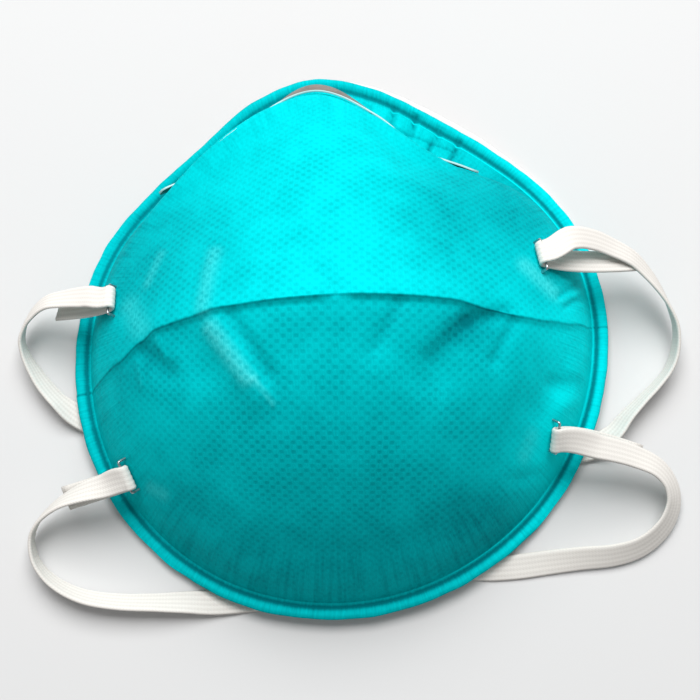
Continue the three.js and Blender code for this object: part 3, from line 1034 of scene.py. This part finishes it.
def bar(section: Sequence[Span], steps: int) -> BMesh:
    """Draws a closed section out into a straight capped bar, one step up at a time.

    Args:
        section: The section's corners, counter-clockwise.
        steps: How many steps of 1 the bar has.

    Returns:
        The bar.
    """
    bm = bmesh.new()
    ring = bmesh.ops.create_circle(bm, cap_ends=True, segments=len(section), radius=1)["verts"]
    for vert, (x, y) in zip(ring, section):
        vert.co = (x, y, 0)
    edges = list(bm.edges)
    for _ in range(steps):
        grown = bmesh.ops.extrude_edge_only(bm, edges=edges)["geom"]
        fresh = [item for item in grown if isinstance(item, bmesh.types.BMVert)]
        bmesh.ops.translate(bm, verts=fresh, vec=UP)
        known = set(fresh)
        edges = [item for item in grown if isinstance(item, bmesh.types.BMEdge) and set(item.verts) <= known]
    bmesh.ops.contextual_create(bm, geom=edges)
    return bm


def sweep(
    section: Sequence[Span], stations: Sequence[Station], taper: Callable[[float], float] | None = None
) -> BMesh:
    """Bends a bar along stations.

    Args:
        section: The section's corners, in millimetres, counter-clockwise.
        stations: Where the bar goes, in millimetres.
        taper: The section's width as a share, at a share of the bar's length.

    Returns:
        The mesh in metres, with its own coordinates: across the section and along the bar.
    """
    last = len(stations) - 1
    bm = bar(section, last)
    points = [station.point for station in stations]
    lengths = distances(points)
    chart = bm.loops.layers.uv.new(CHART)
    for loop in (loop for face in bm.faces for loop in face.loops):
        x, _, at = loop.vert.co
        loop[chart].uv = (x * MM, lengths[round(at)] * MM)
    frames = []
    for at, station in enumerate(stations):
        along = (points[min(at + 1, last)] - points[max(at - 1, 0)]).normalized()
        across = (station.across - along * station.across.dot(along)).normalized()
        frames.append((across, along.cross(across)))
    for vert in bm.verts:
        x, y, height = vert.co
        at = round(height)
        width = taper(lengths[at] / lengths[-1]) if taper else 1
        across, facing = frames[at]
        vert.co = (points[at] + across * (x * width) + facing * y) * MM
    bmesh.ops.recalc_face_normals(bm, faces=bm.faces)
    return bm


def round_section(diameter: float, sides: int) -> list[Span]:
    """A round wire's section."""
    ways = (level_way(2 * math.pi * at / sides) * (diameter / 2) for at in range(sides))
    return [(way.x, way.y) for way in ways]


@dataclass
class Shell:
    """The moulded shell: the cover and the white layer under it."""

    form: ShellForm
    cover_meridians: int = 400
    cover_rows: int = 96
    inner_meridians: int = 180
    inner_rows: int = 46
    flange_rows: int = 12
    crowding: float = 0.6
    wave_height: float = 0.16
    wave_size: float = 11
    wave_fade: Span = (0.9, 1)
    dark_fade: Span = (0.995, 1.03)
    edge_wander: float = 0.22
    wander_rate: float = 14
    wander_seed: float = 3.7
    edge_from: float = 1.4
    gather: float = 0.12
    deepest: float = 1

    def tracks(self, rows: int) -> list[float]:
        """Spaces a layer's rows from the crest out to the flange's edge, closer near the wall.

        Args:
            rows: How many rows the dome has.

        Returns:
            The rows' tracks.
        """
        even = [at / rows for at in range(rows + 1)]
        dome = [self.crowding * math.sin(share * math.pi / 2) + (1 - self.crowding) * share for share in even]
        return dome + [1 + (at + 1) / self.flange_rows for at in range(self.flange_rows)]

    def disc(self, meridians: int, tracks: Sequence[float]) -> BMesh:
        """Spins a line of points round the crest into a flat disc, whose radius is the track.

        Args:
            meridians: How many steps the spin has.
            tracks: The points' radii.

        Returns:
            The disc with its own coordinates.
        """
        bm = bmesh.new()
        line = [bm.verts.new((track, 0, 0)) for track in tracks]
        line += [bm.edges.new(pair) for pair in zip(line, line[1:])]
        whole = {"cent": (0, 0, 0), "axis": UP, "angle": 2 * math.pi, "steps": meridians}
        bmesh.ops.spin(bm, geom=line, use_merge=True, **whole)
        bmesh.ops.remove_doubles(bm, verts=bm.verts, dist=1e-6)
        bmesh.ops.recalc_face_normals(bm, faces=bm.faces)
        if next(iter(bm.faces)).normal.z < 0:
            bmesh.ops.reverse_faces(bm, faces=bm.faces)
        self.chart(bm)
        return bm

    @staticmethod
    def chart(bm: BMesh) -> None:
        """Gives a disc its own coordinates: the turn about the crest and the track.

        Args:
            bm: The disc.
        """
        layer = bm.loops.layers.uv.new(CHART)
        for face in bm.faces:
            middle = face.calc_center_median()
            centre = math.atan2(middle.y, middle.x)
            for loop in face.loops:
                x, y, _ = loop.vert.co
                turn = math.atan2(y, x) if x or y else centre
                turn += 2 * math.pi * round((centre - turn) / (2 * math.pi))
                loop[layer].uv = (turn / (2 * math.pi) + 0.5, math.hypot(x, y))

    def mould(self, bm: BMesh, form: ShellForm, depth: float, edge_column: str | None) -> None:
        """Moves a disc's points onto the shell.

        Args:
            bm: The disc.
            form: The shape that it follows.
            depth: How far below the outer face it lies.
            edge_column: The rim's column that moves the outer edge, if any.
        """
        wear_and_shading, dark, ridge = (bm.verts.layers.float.new(name) for name in ("wear_and_shading", "dark", "ridge"))
        for vert in bm.verts:
            x, y, _ = vert.co
            start, track = math.atan2(y, x), min(math.hypot(x, y), 2)
            start -= self.gather * math.sin(2 * start)
            out = min(track, 1)
            angle = start - form.droop(start, out)
            point = form.face(angle, track)
            outward = form.outward(angle, track) if track > 0 else UP
            swell = noise.noise(point / self.wave_size) * self.wave_height
            if depth == 0:
                swell = max(swell + form.fold_height(SMALL_FOLDS, point.x, point.y), -self.deepest)
            swell *= 1 - step_between(track, *self.wave_fade)
            # marks above 0 are paler, partly real wear and partly painted highlight; below 0 they are painted
            # shade in the folds' hollows
            marks = form.fold_height((*MAIN_FOLDS, *SMALL_FOLDS), point.x, point.y, "wear_and_shading")
            if depth == 0 and track > form.rim("knee", angle):
                swell += form.fold_height(PLEATS, point.x, point.y)
                marks += form.fold_height(PLEATS, point.x, point.y, "wear_and_shading")
            vert[wear_and_shading] = max(marks, 0)
            vert[ridge] = form.ridge_turn(angle, out) * out * form.rim("radius", angle)
            # painted shade: the broad patches and the dark marks of the folds' hollows
            shade = self.painted_shading(point.x, point.y) + max(-marks, 0)
            vert[dark] = shade * (1 - step_between(track, *self.dark_fade))
            point += outward * (swell - depth)
            reach = noise.noise(Vector((angle * self.wander_rate, self.wander_seed, 0))) * self.edge_wander
            if edge_column:
                reach += form.rim(edge_column, angle)
            point += level_way(angle) * (reach * step_between(track, self.edge_from, 2))
            point.z = max(point.z, form.wall - depth)
            vert.co = point * MM

    @staticmethod
    def painted_shading(x: float, y: float) -> float:
        """How much darker the cloth is painted at a place in plan, as painted shade, and paler below 0, as
        painted light.
        """
        return sum(row.dark * bell(x, row.x, row.half_x) * bell(y, row.y, row.half_y) for row in SHADE_PATCHES)

    def build(self) -> list[Object]:
        """Moulds both layers and gives each its wall.

        Returns:
            The cover and the inner layer.
        """
        form = self.form
        disc = self.disc(self.cover_meridians, self.tracks(self.cover_rows))
        self.mould(disc, form, 0, None)
        cover = new_piece("cover", disc, CoverCloth().material(), Slot.COVER)
        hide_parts("cover_shell")
        disc = self.disc(self.inner_meridians, self.tracks(self.inner_rows))
        plain = replace(form, groove_depth=0, bead_height=0, lip_height=0, step_depth=0)
        self.mould(disc, plain, form.inner_top, "peek")
        inner = new_piece("inner_layer", disc, InnerCloth().material(), Slot.INNER)
        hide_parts("inner_shell")
        for piece, thickness in ((cover, form.sheet), (inner, form.inner_thickness)):
            wall = piece.modifiers.new("wall", "SOLIDIFY")
            wall.thickness = thickness * MM
            wall.offset = -1
        return [cover, inner]


@dataclass
class NoseClip:
    """The aluminium strip bent round the steep wall below the nose panel."""

    form: ShellForm
    from_angle: float = 43
    to_angle: float = 137
    down: float = 0.55
    length: float = 90
    width: float = 5
    thickness: float = 0.5
    bevel: float = 0.12
    bevel_middle: float = 0.3
    seat_gap: float = 0.3
    sprung: float = 1.5
    sprung_share: float = 0.07
    lean: float = 16
    lean_at: float = 90
    sag: float = 0.25
    sag_at: float = 119
    bend_reach: float = 9
    corner: float = 1.2
    steps: int = 90

    def section(self) -> list[Span]:
        """Rounds the strip's sheared edges a little.

        Returns:
            The section's corners.
        """
        half_width, half, bevel = self.width / 2, self.thickness / 2, self.bevel
        middle = bevel * self.bevel_middle
        right = [(half_width, half - bevel), (half_width - middle, half - middle), (half_width - bevel, half)]
        left = [(-x, y) for x, y in reversed(right)]
        return right + left + [(-x, -y) for x, y in right + left]

    def stations(self) -> list[Station]:
        """Leads the strip along the wall: it leans out at the nose, sags beside it and stands off at its end.

        Returns:
            The strip's stations.
        """
        form, found = self.form, []
        for at in range(self.steps + 1):
            degrees = self.from_angle + (self.to_angle - self.from_angle) * at / self.steps
            lean = math.radians(self.lean * bell(degrees, self.lean_at, self.bend_reach))
            sag = self.sag * bell(degrees, self.sag_at, self.bend_reach)
            angle = math.radians(degrees)
            knee, toe = form.rim("knee", angle), form.rim("toe", angle)
            out = knee + (toe - knee) * (self.down + sag)
            up = (form.dome(angle, knee) - form.dome(angle, toe)).normalized()
            around = form.dome(angle + form.nudge, out) - form.dome(angle - form.nudge, out)
            normal = around.cross(up).normalized()
            off = self.sprung * step_between(at / self.steps, 1 - self.sprung_share, 1)
            off += self.seat_gap + self.thickness / 2 + self.width / 2 * math.sin(lean)
            across = up * math.cos(lean) - normal * math.sin(lean)
            found.append(Station(form.dome(angle, out) + normal * off, across))
        return found

    def taper(self, share: float) -> float:
        """Clips the strip's corners round at both ends.

        Args:
            share: The share of the strip's length.

        Returns:
            Its width as a share.
        """
        rest = max(self.corner - min(share, 1 - share) * self.length, 0)
        return 1 - (self.corner - math.sqrt(self.corner**2 - rest**2)) / (self.width / 2)

    def build(self) -> Object:
        """Sweeps the strip.

        Returns:
            The clip.
        """
        bm = sweep(self.section(), self.stations(), self.taper)
        piece = new_piece("clip", bm, ClipMetal().material(), Slot.CLIP)
        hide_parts("nose_clip")
        return piece


class StapleRow(NamedTuple):
    """Where a staple sits: its angle about the crest, share of the way out, and the strap's heading.

    The tuck and the swing are how far the strap's tail is pushed to one side under the band, at the
    staple and halfway along, in millimetres.
    """

    angle: float
    out: float
    heading: float
    tuck: float = 0
    swing: float = 0


STAPLES = {
    "upper_left": StapleRow(168.2, 0.874, 176, -0.1, -1.5),
    "upper_right": StapleRow(11, 0.79, 4),
    "lower_left": StapleRow(209.3, 0.93, 197, 0.4, 1.5),
    "lower_right": StapleRow(325.7, 0.905, -10, -0.6, -1.8),
}


@dataclass
class Seat:
    """A staple's seat on the cover."""

    form: ShellForm
    row: StapleRow
    nudge: float = 0.01

    def __post_init__(self) -> None:
        """Works out the point, the way out of the wall, the way that the strap leaves, and the way across."""
        dome, nudge = self.form.dome, self.nudge
        angle, out = math.radians(self.row.angle), self.row.out
        self.point = dome(angle, out)
        along = dome(angle, out + nudge) - dome(angle, out - nudge)
        self.normal = along.cross(dome(angle + nudge, out) - dome(angle - nudge, out)).normalized()
        leaves = level_way(math.radians(self.row.heading))
        self.leaves = (leaves - self.normal * leaves.dot(self.normal)).normalized()
        self.across = self.normal.cross(self.leaves).normalized()

    def place(self, leaves: float = 0, across: float = 0, height: float = 0) -> Vector:
        """A point by its distances along the strap, across it and above the wall."""
        return self.point + self.leaves * leaves + self.across * across + self.normal * height


@dataclass
class Fastening:
    """The sizes that a staple and the strap folded round it share."""

    strap_width: float = 6
    strap_thickness: float = 1
    wire: float = 0.6
    seat_gap: float = 0.3
    crown_length: float = 8
    clinch: float = 3.1
    bend: float = 0.55

    @property
    def tail_height(self) -> float:
        """The height of the tail's middle above the cover."""
        return self.seat_gap + self.strap_thickness / 2

    @property
    def crown_height(self) -> float:
        """The height of the crown's middle above the cover."""
        return self.tail_height + self.strap_thickness / 2 + self.seat_gap + self.wire / 2

    @property
    def fold_radius(self) -> float:
        """The radius of the strap's middle round the crown."""
        return self.crown_height - self.tail_height


@dataclass
class Staple:
    """A wire staple: its crown over the strap's tail, its legs through the wall and bent in behind it."""

    name: str
    seat: Seat
    sizes: Fastening
    sides: int = 12
    arc_steps: int = 6

    def route(self) -> list[Vector]:
        """Lays out the wire from one clinched end to the other.

        Returns:
            Its corners.
        """
        sizes = self.sizes
        half, low = sizes.crown_length / 2, -(self.seat.form.wall + sizes.seat_gap + sizes.wire / 2)
        right = ((half - sizes.clinch, low), (half, low), (half, sizes.crown_height))
        left = ((-across, height) for across, height in reversed(right))
        return [self.seat.place(across=across, height=height) for across, height in (*right, *left)]

    def build(self, material: Material) -> Object:
        """Bends the wire round its corners.

        Args:
            material: Its finish.

        Returns:
            The staple.
        """
        corners = self.route()
        points = [corners[0]]
        for before, corner, after in zip(corners, corners[1:], corners[2:]):
            start = corner + (before - corner).normalized() * self.sizes.bend
            end = corner + (after - corner).normalized() * self.sizes.bend
            points += [bow(at / self.arc_steps, start, corner, end) for at in range(self.arc_steps + 1)]
        points.append(corners[-1])
        stations = [Station(point, self.seat.leaves) for point in points]
        bm = sweep(round_section(self.sizes.wire, self.sides), stations)
        piece = new_piece(f"wire_{self.name}", bm, material, Slot.WIRE)
        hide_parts(f"staple_{self.name}")
        return piece


class Point(NamedTuple):
    """A place in the part's frame."""

    x: float
    y: float
    z: float


class RunRow(NamedTuple):
    """One place along a strap's free run, and how far the band is turned about its own length."""

    x: float
    y: float
    z: float
    roll: float


class StrapRoute(NamedTuple):
    """A strap's two cut ends and its free run between them, from the left staple to the right one."""

    left_end: Point
    right_end: Point
    run: tuple[RunRow, ...]


STRAPS = {
    "upper": StrapRoute(
        left_end=Point(-66.3, 14.7, 8.5),
        right_end=Point(71, 10.8, 12),
        run=(
            RunRow(-58, 15, 18, 16),
            RunRow(-63.9, 16, 14.2, 32),
            RunRow(-68.9, 16.3, 11, 44),
            RunRow(-72.5, 15, 8.2, 57),
            RunRow(-75.2, 12.6, 6.2, 72),
            RunRow(-76.7, 9, 4.8, 88),
            RunRow(-76.2, 5.6, 3.8, 101),
            RunRow(-74.6, 1.8, 3.2, 113),
            RunRow(-72.4, -2.2, 2.9, 124),
            RunRow(-69.3, -6.4, 2.4, 130),
            RunRow(-65.6, -10, 1.4, 160),
            RunRow(-61, -12.6, 0.6, 178),
            RunRow(-52, -14.6, 0.5, 180),
            RunRow(-20, -18.7, 0.5, 180),
            RunRow(20, -24.2, 0.5, 180),
            RunRow(46, -30.6, 0.5, 180),
            RunRow(57, -31.4, 0.6, 176),
            RunRow(62.6, -28.4, 1.8, 132),
            RunRow(66, -25, 2.7, 120),
            RunRow(70, -21.6, 3.1, 112),
            RunRow(74.3, -18.1, 3.4, 107),
            RunRow(77.6, -14.7, 3.7, 103),
            RunRow(79.6, -10.6, 4.2, 99),
            RunRow(80.4, -5.4, 5.2, 90),
            RunRow(79.2, -0.3, 6.6, 78),
            RunRow(77, 4.2, 8.2, 64),
            RunRow(74.3, 8, 10, 50),
            RunRow(70.9, 11.2, 12.6, 38),
            RunRow(65.7, 13.7, 16, 26),
            RunRow(60.8, 15.1, 19.8, 16),
            RunRow(55.2, 14.9, 24.4, 8),
        ),
    ),
    "lower": StrapRoute(
        left_end=Point(-68.6, -30.3, 5.8),
        right_end=Point(66.6, -35, 7),
        run=(
            RunRow(-58.6, -29.1, 12.9, 14),
            RunRow(-64, -29.9, 11.2, 38),
            RunRow(-68.8, -31.1, 9.2, 58),
            RunRow(-72.7, -32.9, 7.2, 70),
            RunRow(-75.8, -35.3, 5.6, 78),
            RunRow(-77.6, -38.2, 4.4, 85),
            RunRow(-77.8, -41.6, 3.8, 92),
            RunRow(-76.9, -44.9, 3.4, 100),
            RunRow(-74.7, -48.2, 3, 108),
            RunRow(-71, -51.3, 2.8, 116),
            RunRow(-66, -53.8, 2.6, 123),
            RunRow(-58.7, -55.6, 2.5, 129),
            RunRow(-50.1, -56.7, 2.2, 135),
            RunRow(-43, -57.4, 1.6, 150),
            RunRow(-36, -58.2, 0.8, 170),
            RunRow(-28, -58.3, 0.5, 179),
            RunRow(-12, -57.6, 0.5, 176),
            RunRow(2, -56, 2.6, 130),
            RunRow(11, -55.4, 3, 90),
            RunRow(20, -55.9, 2.5, 48),
            RunRow(29, -57.2, 0.8, 10),
            RunRow(36, -57.5, 0.6, 6),
            RunRow(43, -57.3, 1.2, 14),
            RunRow(50.8, -57.2, 1.9, 25),
            RunRow(58.6, -57.3, 2.3, 32),
            RunRow(64.4, -56.3, 2.6, 38),
            RunRow(69, -53.9, 2.9, 43),
            RunRow(72.4, -50.4, 3.4, 47),
            RunRow(74.1, -46, 4.4, 49),
            RunRow(73.5, -41.9, 5.8, 45),
            RunRow(70.8, -38.3, 7.8, 34),
            RunRow(65.3, -35.3, 10.4, 20),
            RunRow(57.2, -32.7, 14.3, 8),
        ),
    ),
}


@dataclass
class Strap:
    """A knitted elastic strap, folded round the crowns of its two staples."""

    name: str
    route: StrapRoute
    left: Seat
    right: Seat
    sizes: Fastening
    run_steps: int = 230
    fold_steps: int = 14
    tail_steps: int = 14
    tail_bend: float = 0.35
    ribs: int = 5
    rib_depth: float = 0.1
    edge_power: float = 8
    section_steps: int = 20

    def section(self) -> list[Span]:
        """Draws the band's ribs on both faces and its round edges.

        Returns:
            The section's corners.
        """
        half_width, half = self.sizes.strap_width / 2, self.sizes.strap_thickness / 2
        upper = []
        for at in range(self.section_steps + 1):
            share = 1 - 2 * at / self.section_steps
            rounding = math.sqrt(max(1 - abs(share) ** self.edge_power, 0))
            rib = self.rib_depth * (1 - math.cos(math.pi * (share + 1) * self.ribs)) / 2
            upper.append((share * half_width, (half - self.rib_depth + rib) * rounding))
        return upper + [(x, -y) for x, y in reversed(upper[1:-1])]

    def end(self, seat: Seat, cut: Point, toward: RunRow, turned: int) -> list[Station]:
        """Leads the band from a cut end round the fold to the free run.

        Args:
            seat: Where the staple holds the band.
            cut: The cut end's middle.
            toward: The place that the free run goes to first, which sets how far the fold turns.
            turned: 1 at the left end and -1 at the right end.

        Returns:
            The stations.
        """
        sizes, row = self.sizes, seat.row
        away = Vector(toward[:3]) - seat.place(height=sizes.crown_height + sizes.fold_radius)
        whole = math.pi - math.atan2(away.dot(seat.normal), away.dot(seat.leaves))
        start = Vector(cut)
        held = seat.place(across=row.tuck, height=sizes.tail_height)
        reach = self.tail_bend * (held - start).length
        bend = seat.place(leaves=reach, across=row.swing, height=sizes.tail_height)
        points = [bow(at / self.tail_steps, start, bend, held) for at in range(self.tail_steps + 1)]
        for at in range(self.fold_steps):
            share = (at + 1) / self.fold_steps
            back = sizes.fold_radius * math.sin(share * whole)
            height = sizes.crown_height - sizes.fold_radius * math.cos(share * whole)
            points.append(seat.place(leaves=-back, across=row.tuck * (1 - share), height=height))
        return [Station(point, seat.across * turned) for point in points]

    @staticmethod
    def level(along: Vector) -> Vector:
        """The level direction across a route, to its left."""
        return UP.cross(along).normalized()

    def roll_at(self, along: Vector, across: Vector) -> float:
        """The roll that turns the band's section to a given direction, in degrees."""
        level = self.level(along)
        return math.degrees(math.atan2(across.dot(along.cross(level)), across.dot(level)))

    def free_run(self, left: Sequence[Station], right: Sequence[Station]) -> list[Station]:
        """Leads the band between its two folds in even steps, with no edge below the surface.

        Args:
            left: The stations of the left end.
            right: The stations of the right end.

        Returns:
            The stations between them.
        """
        first, last = left[-1].point, right[0].point
        knots = [first, *(Vector(row[:3]) for row in self.route.run), last]
        leaves, arrives = first - left[-2].point, right[1].point - last
        curve = SmoothRoute(leaves.normalized(), knots, arrives.normalized())
        left_roll = self.roll_at(curve.direction(0), self.left.across)
        right_roll = self.roll_at(curve.direction(curve.spans), -self.right.across)
        rolls = [left_roll, *(row.roll for row in self.route.run), right_roll]
        found = []
        for at in range(1, self.run_steps):
            place = curve.at_length(at / self.run_steps)
            before = min(int(place), len(rolls) - 2)
            roll = math.radians(rolls[before] + (rolls[before + 1] - rolls[before]) * (place - before))
            point, along = curve.point(place), curve.direction(place)
            level = self.level(along)
            across = level * math.cos(roll) + along.cross(level) * math.sin(roll)
            sides = self.sizes.strap_width * abs(across.z)
            sides += self.sizes.strap_thickness * abs(along.cross(across).z)
            point.z = max(point.z, sides / 2)
            found.append(Station(point, across))
        return found

    def stations(self) -> list[Station]:
        """Joins the two ends and the free run.

        Returns:
            The whole band's stations, from its left cut end to its right one.
        """
        run = self.route.run
        left = self.end(self.left, self.route.left_end, run[0], 1)
        right = self.end(self.right, self.route.right_end, run[-1], -1)[::-1]
        return left + self.free_run(left, right) + right

    def build(self, material: Material) -> Object:
        """Args:
            material: Its finish.

        Returns:
            The strap.
        """
        stations = self.stations()
        bm = sweep(self.section(), stations)
        piece = new_piece(f"{self.name}_band", bm, material, Slot.ELASTIC)
        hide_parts(f"{self.name}_strap")
        path = [station.point * MM for station in stations]
        length = distances(path)[-1]
        tuple(self.left.point * MM)
        [tuple(point) for point in path]
        LOG.info("%s strap: %.0f mm", self.name, length / MM)
        return piece


class SmoothRoute:
    """A smooth curve through knots that slows down with their spacing, so that it never loops."""

    FINE = 40  # samples between two knots, for its length
    NUDGE = 0.01  # the half of a step that gives a direction
    LEAST_GAP = 1e-4
    LEAST_LENGTH = 1e-9

    def __init__(self, leaves: Vector, knots: Sequence[Vector], arrives: Vector) -> None:
        """Measures the curve.

        Args:
            leaves: Its direction at the first knot.
            knots: The points that it goes through.
            arrives: Its direction at the last knot.
        """
        self.leaves, self.knots, self.arrives = leaves, knots, arrives
        self.spans = len(knots) - 1
        self.places = [at / self.FINE for at in range(self.spans * self.FINE + 1)]
        self.lengths = distances([self.point(place) for place in self.places])

    def point(self, place: float) -> Vector:
        """Finds a point of the curve.

        Args:
            place: The place, in knots from the start.

        Returns:
            The point.
        """
        row = min(int(place), self.spans - 1)
        start, end = self.knots[row], self.knots[row + 1]
        is_first, is_last = row == 0, row + 2 > self.spans
        before = start - self.leaves if is_first else self.knots[row - 1]
        beyond = end + self.arrives if is_last else self.knots[row + 2]
        steps = (start - before, end - start, beyond - end)
        back, gap, ahead = (max(step.length**0.5, self.LEAST_GAP) for step in steps)
        first = steps[0] / back - (end - before) / (back + gap) + steps[1] / gap
        second = steps[1] / gap - (beyond - start) / (gap + ahead) + steps[2] / ahead
        first = self.leaves * steps[1].length if is_first else first * gap
        second = self.arrives * steps[1].length if is_last else second * gap
        return curve_between(place - row, start, end, first, second)

    def direction(self, place: float) -> Vector:
        """The direction at a place."""
        ahead, back = min(place + self.NUDGE, self.spans), max(place - self.NUDGE, 0)
        return (self.point(ahead) - self.point(back)).normalized()

    def at_length(self, share: float) -> float:
        """Finds how far along the knots a share of the whole length is.

        Args:
            share: The share of the length.

        Returns:
            The place.
        """
        wanted = share * self.lengths[-1]
        after = next(at for at, length in enumerate(self.lengths) if length >= wanted and at)
        low, high = self.lengths[after - 1], self.lengths[after]
        return self.places[after - 1] + (wanted - low) / max(high - low, self.LEAST_LENGTH) / self.FINE


@dataclass
class Studio:
    """The camera, the pale floor and the soft light.

    The camera and the floor are in millimetres, and the light in metres and watts.
    """

    elevation: float = math.radians(80)
    roll: float = math.radians(6.2)
    distance: float = 360
    pixels_per_mm: float = 4.1
    frame_pixels: float = 700
    aim: Point = Point(2.0, -1.2, 0)
    sensor: float = 36
    nearest: float = 10
    floor_size: float = 4000
    light_place: Point = Point(0.08, 0.65, 1.0)
    light_aim: Point = Point(0, 0, 0.02)
    light_size: float = 0.9
    light_power: float = 21.5
    light_colour: Colour = (1, 1, 1)
    air_strength: float = 0.31

    def build_camera(self) -> None:
        """Places the camera at the photograph's angle and turns it about its own line of sight."""
        data = bpy.data.cameras.new("view")
        data.sensor_width = self.sensor
        data.lens = self.sensor * self.pixels_per_mm * self.distance / self.frame_pixels
        data.clip_start = self.nearest * MM
        camera = bpy.data.objects.new("view", data)
        back = Vector((0, -math.cos(self.elevation), math.sin(self.elevation)))
        up = Vector((0, math.sin(self.elevation), math.cos(self.elevation)))
        right = Vector((1, 0, 0))
        image_right = right * math.cos(self.roll) - up * math.sin(self.roll)
        image_up = right * math.sin(self.roll) + up * math.cos(self.roll)
        turn = Matrix((image_right, image_up, back)).transposed().to_4x4()
        camera.matrix_world = Matrix.Translation((Vector(self.aim) + back * self.distance) * MM) @ turn
        bpy.context.scene.collection.objects.link(camera)
        bpy.context.scene.camera = camera

    def build_light(self) -> None:
        """Adds a soft square light above the nose side that looks at the middle of the part."""
        data = bpy.data.lights.new("key", "AREA")
        data.size = self.light_size
        data.energy = self.light_power
        data.color = self.light_colour
        light = bpy.data.objects.new("key", data)
        light.location = self.light_place
        light.rotation_euler = (Vector(self.light_aim) - light.location).to_track_quat("-Z", "Y").to_euler()
        bpy.context.scene.collection.objects.link(light)

    def build_air(self) -> None:
        """Adds the even light from all round, and shows colours as they are."""
        world = bpy.data.worlds.new("studio_air")
        world.use_nodes = True
        air = world.node_tree.nodes["Background"]
        air.inputs["Color"].default_value = (*self.light_colour, 1)
        air.inputs["Strength"].default_value = self.air_strength
        bpy.context.scene.world = world
        bpy.context.scene.view_settings.view_transform = "Standard"

    def build_floor(self) -> None:
        """Adds the floor just under the part."""
        bm = bmesh.new()
        bmesh.ops.create_grid(bm, x_segments=1, y_segments=1, size=self.floor_size / 2 * MM)
        floor = new_object("floor", bm, StudioPaper().material())

    def build(self) -> None:
        """Builds the whole studio."""
        self.build_camera()
        self.build_floor()
        self.build_light()
        self.build_air()


def main() -> None:
    """Builds the studio and the respirator."""
    logging.basicConfig(level=logging.INFO, format="%(name)s: %(message)s")
    Studio().build()
    form = ShellForm()
    sizes = Fastening()
    seats = {name: Seat(form, row) for name, row in STAPLES.items()}
    elastic = Elastic().material()
    pieces = [
        Strap(name, route, seats[f"{name}_left"], seats[f"{name}_right"], sizes).build(elastic)
        for name, route in STRAPS.items()
    ]
    pieces += Shell(form).build()
    pieces.append(NoseClip(form).build())
    steel = StapleSteel().material()
    pieces += [Staple(name, seat, sizes).build(steel) for name, seat in seats.items()]
    for piece in pieces:
        LOG.info("%s: %d faces", piece.name, len(piece.data.polygons))


if __name__ == "__main__":
    main()
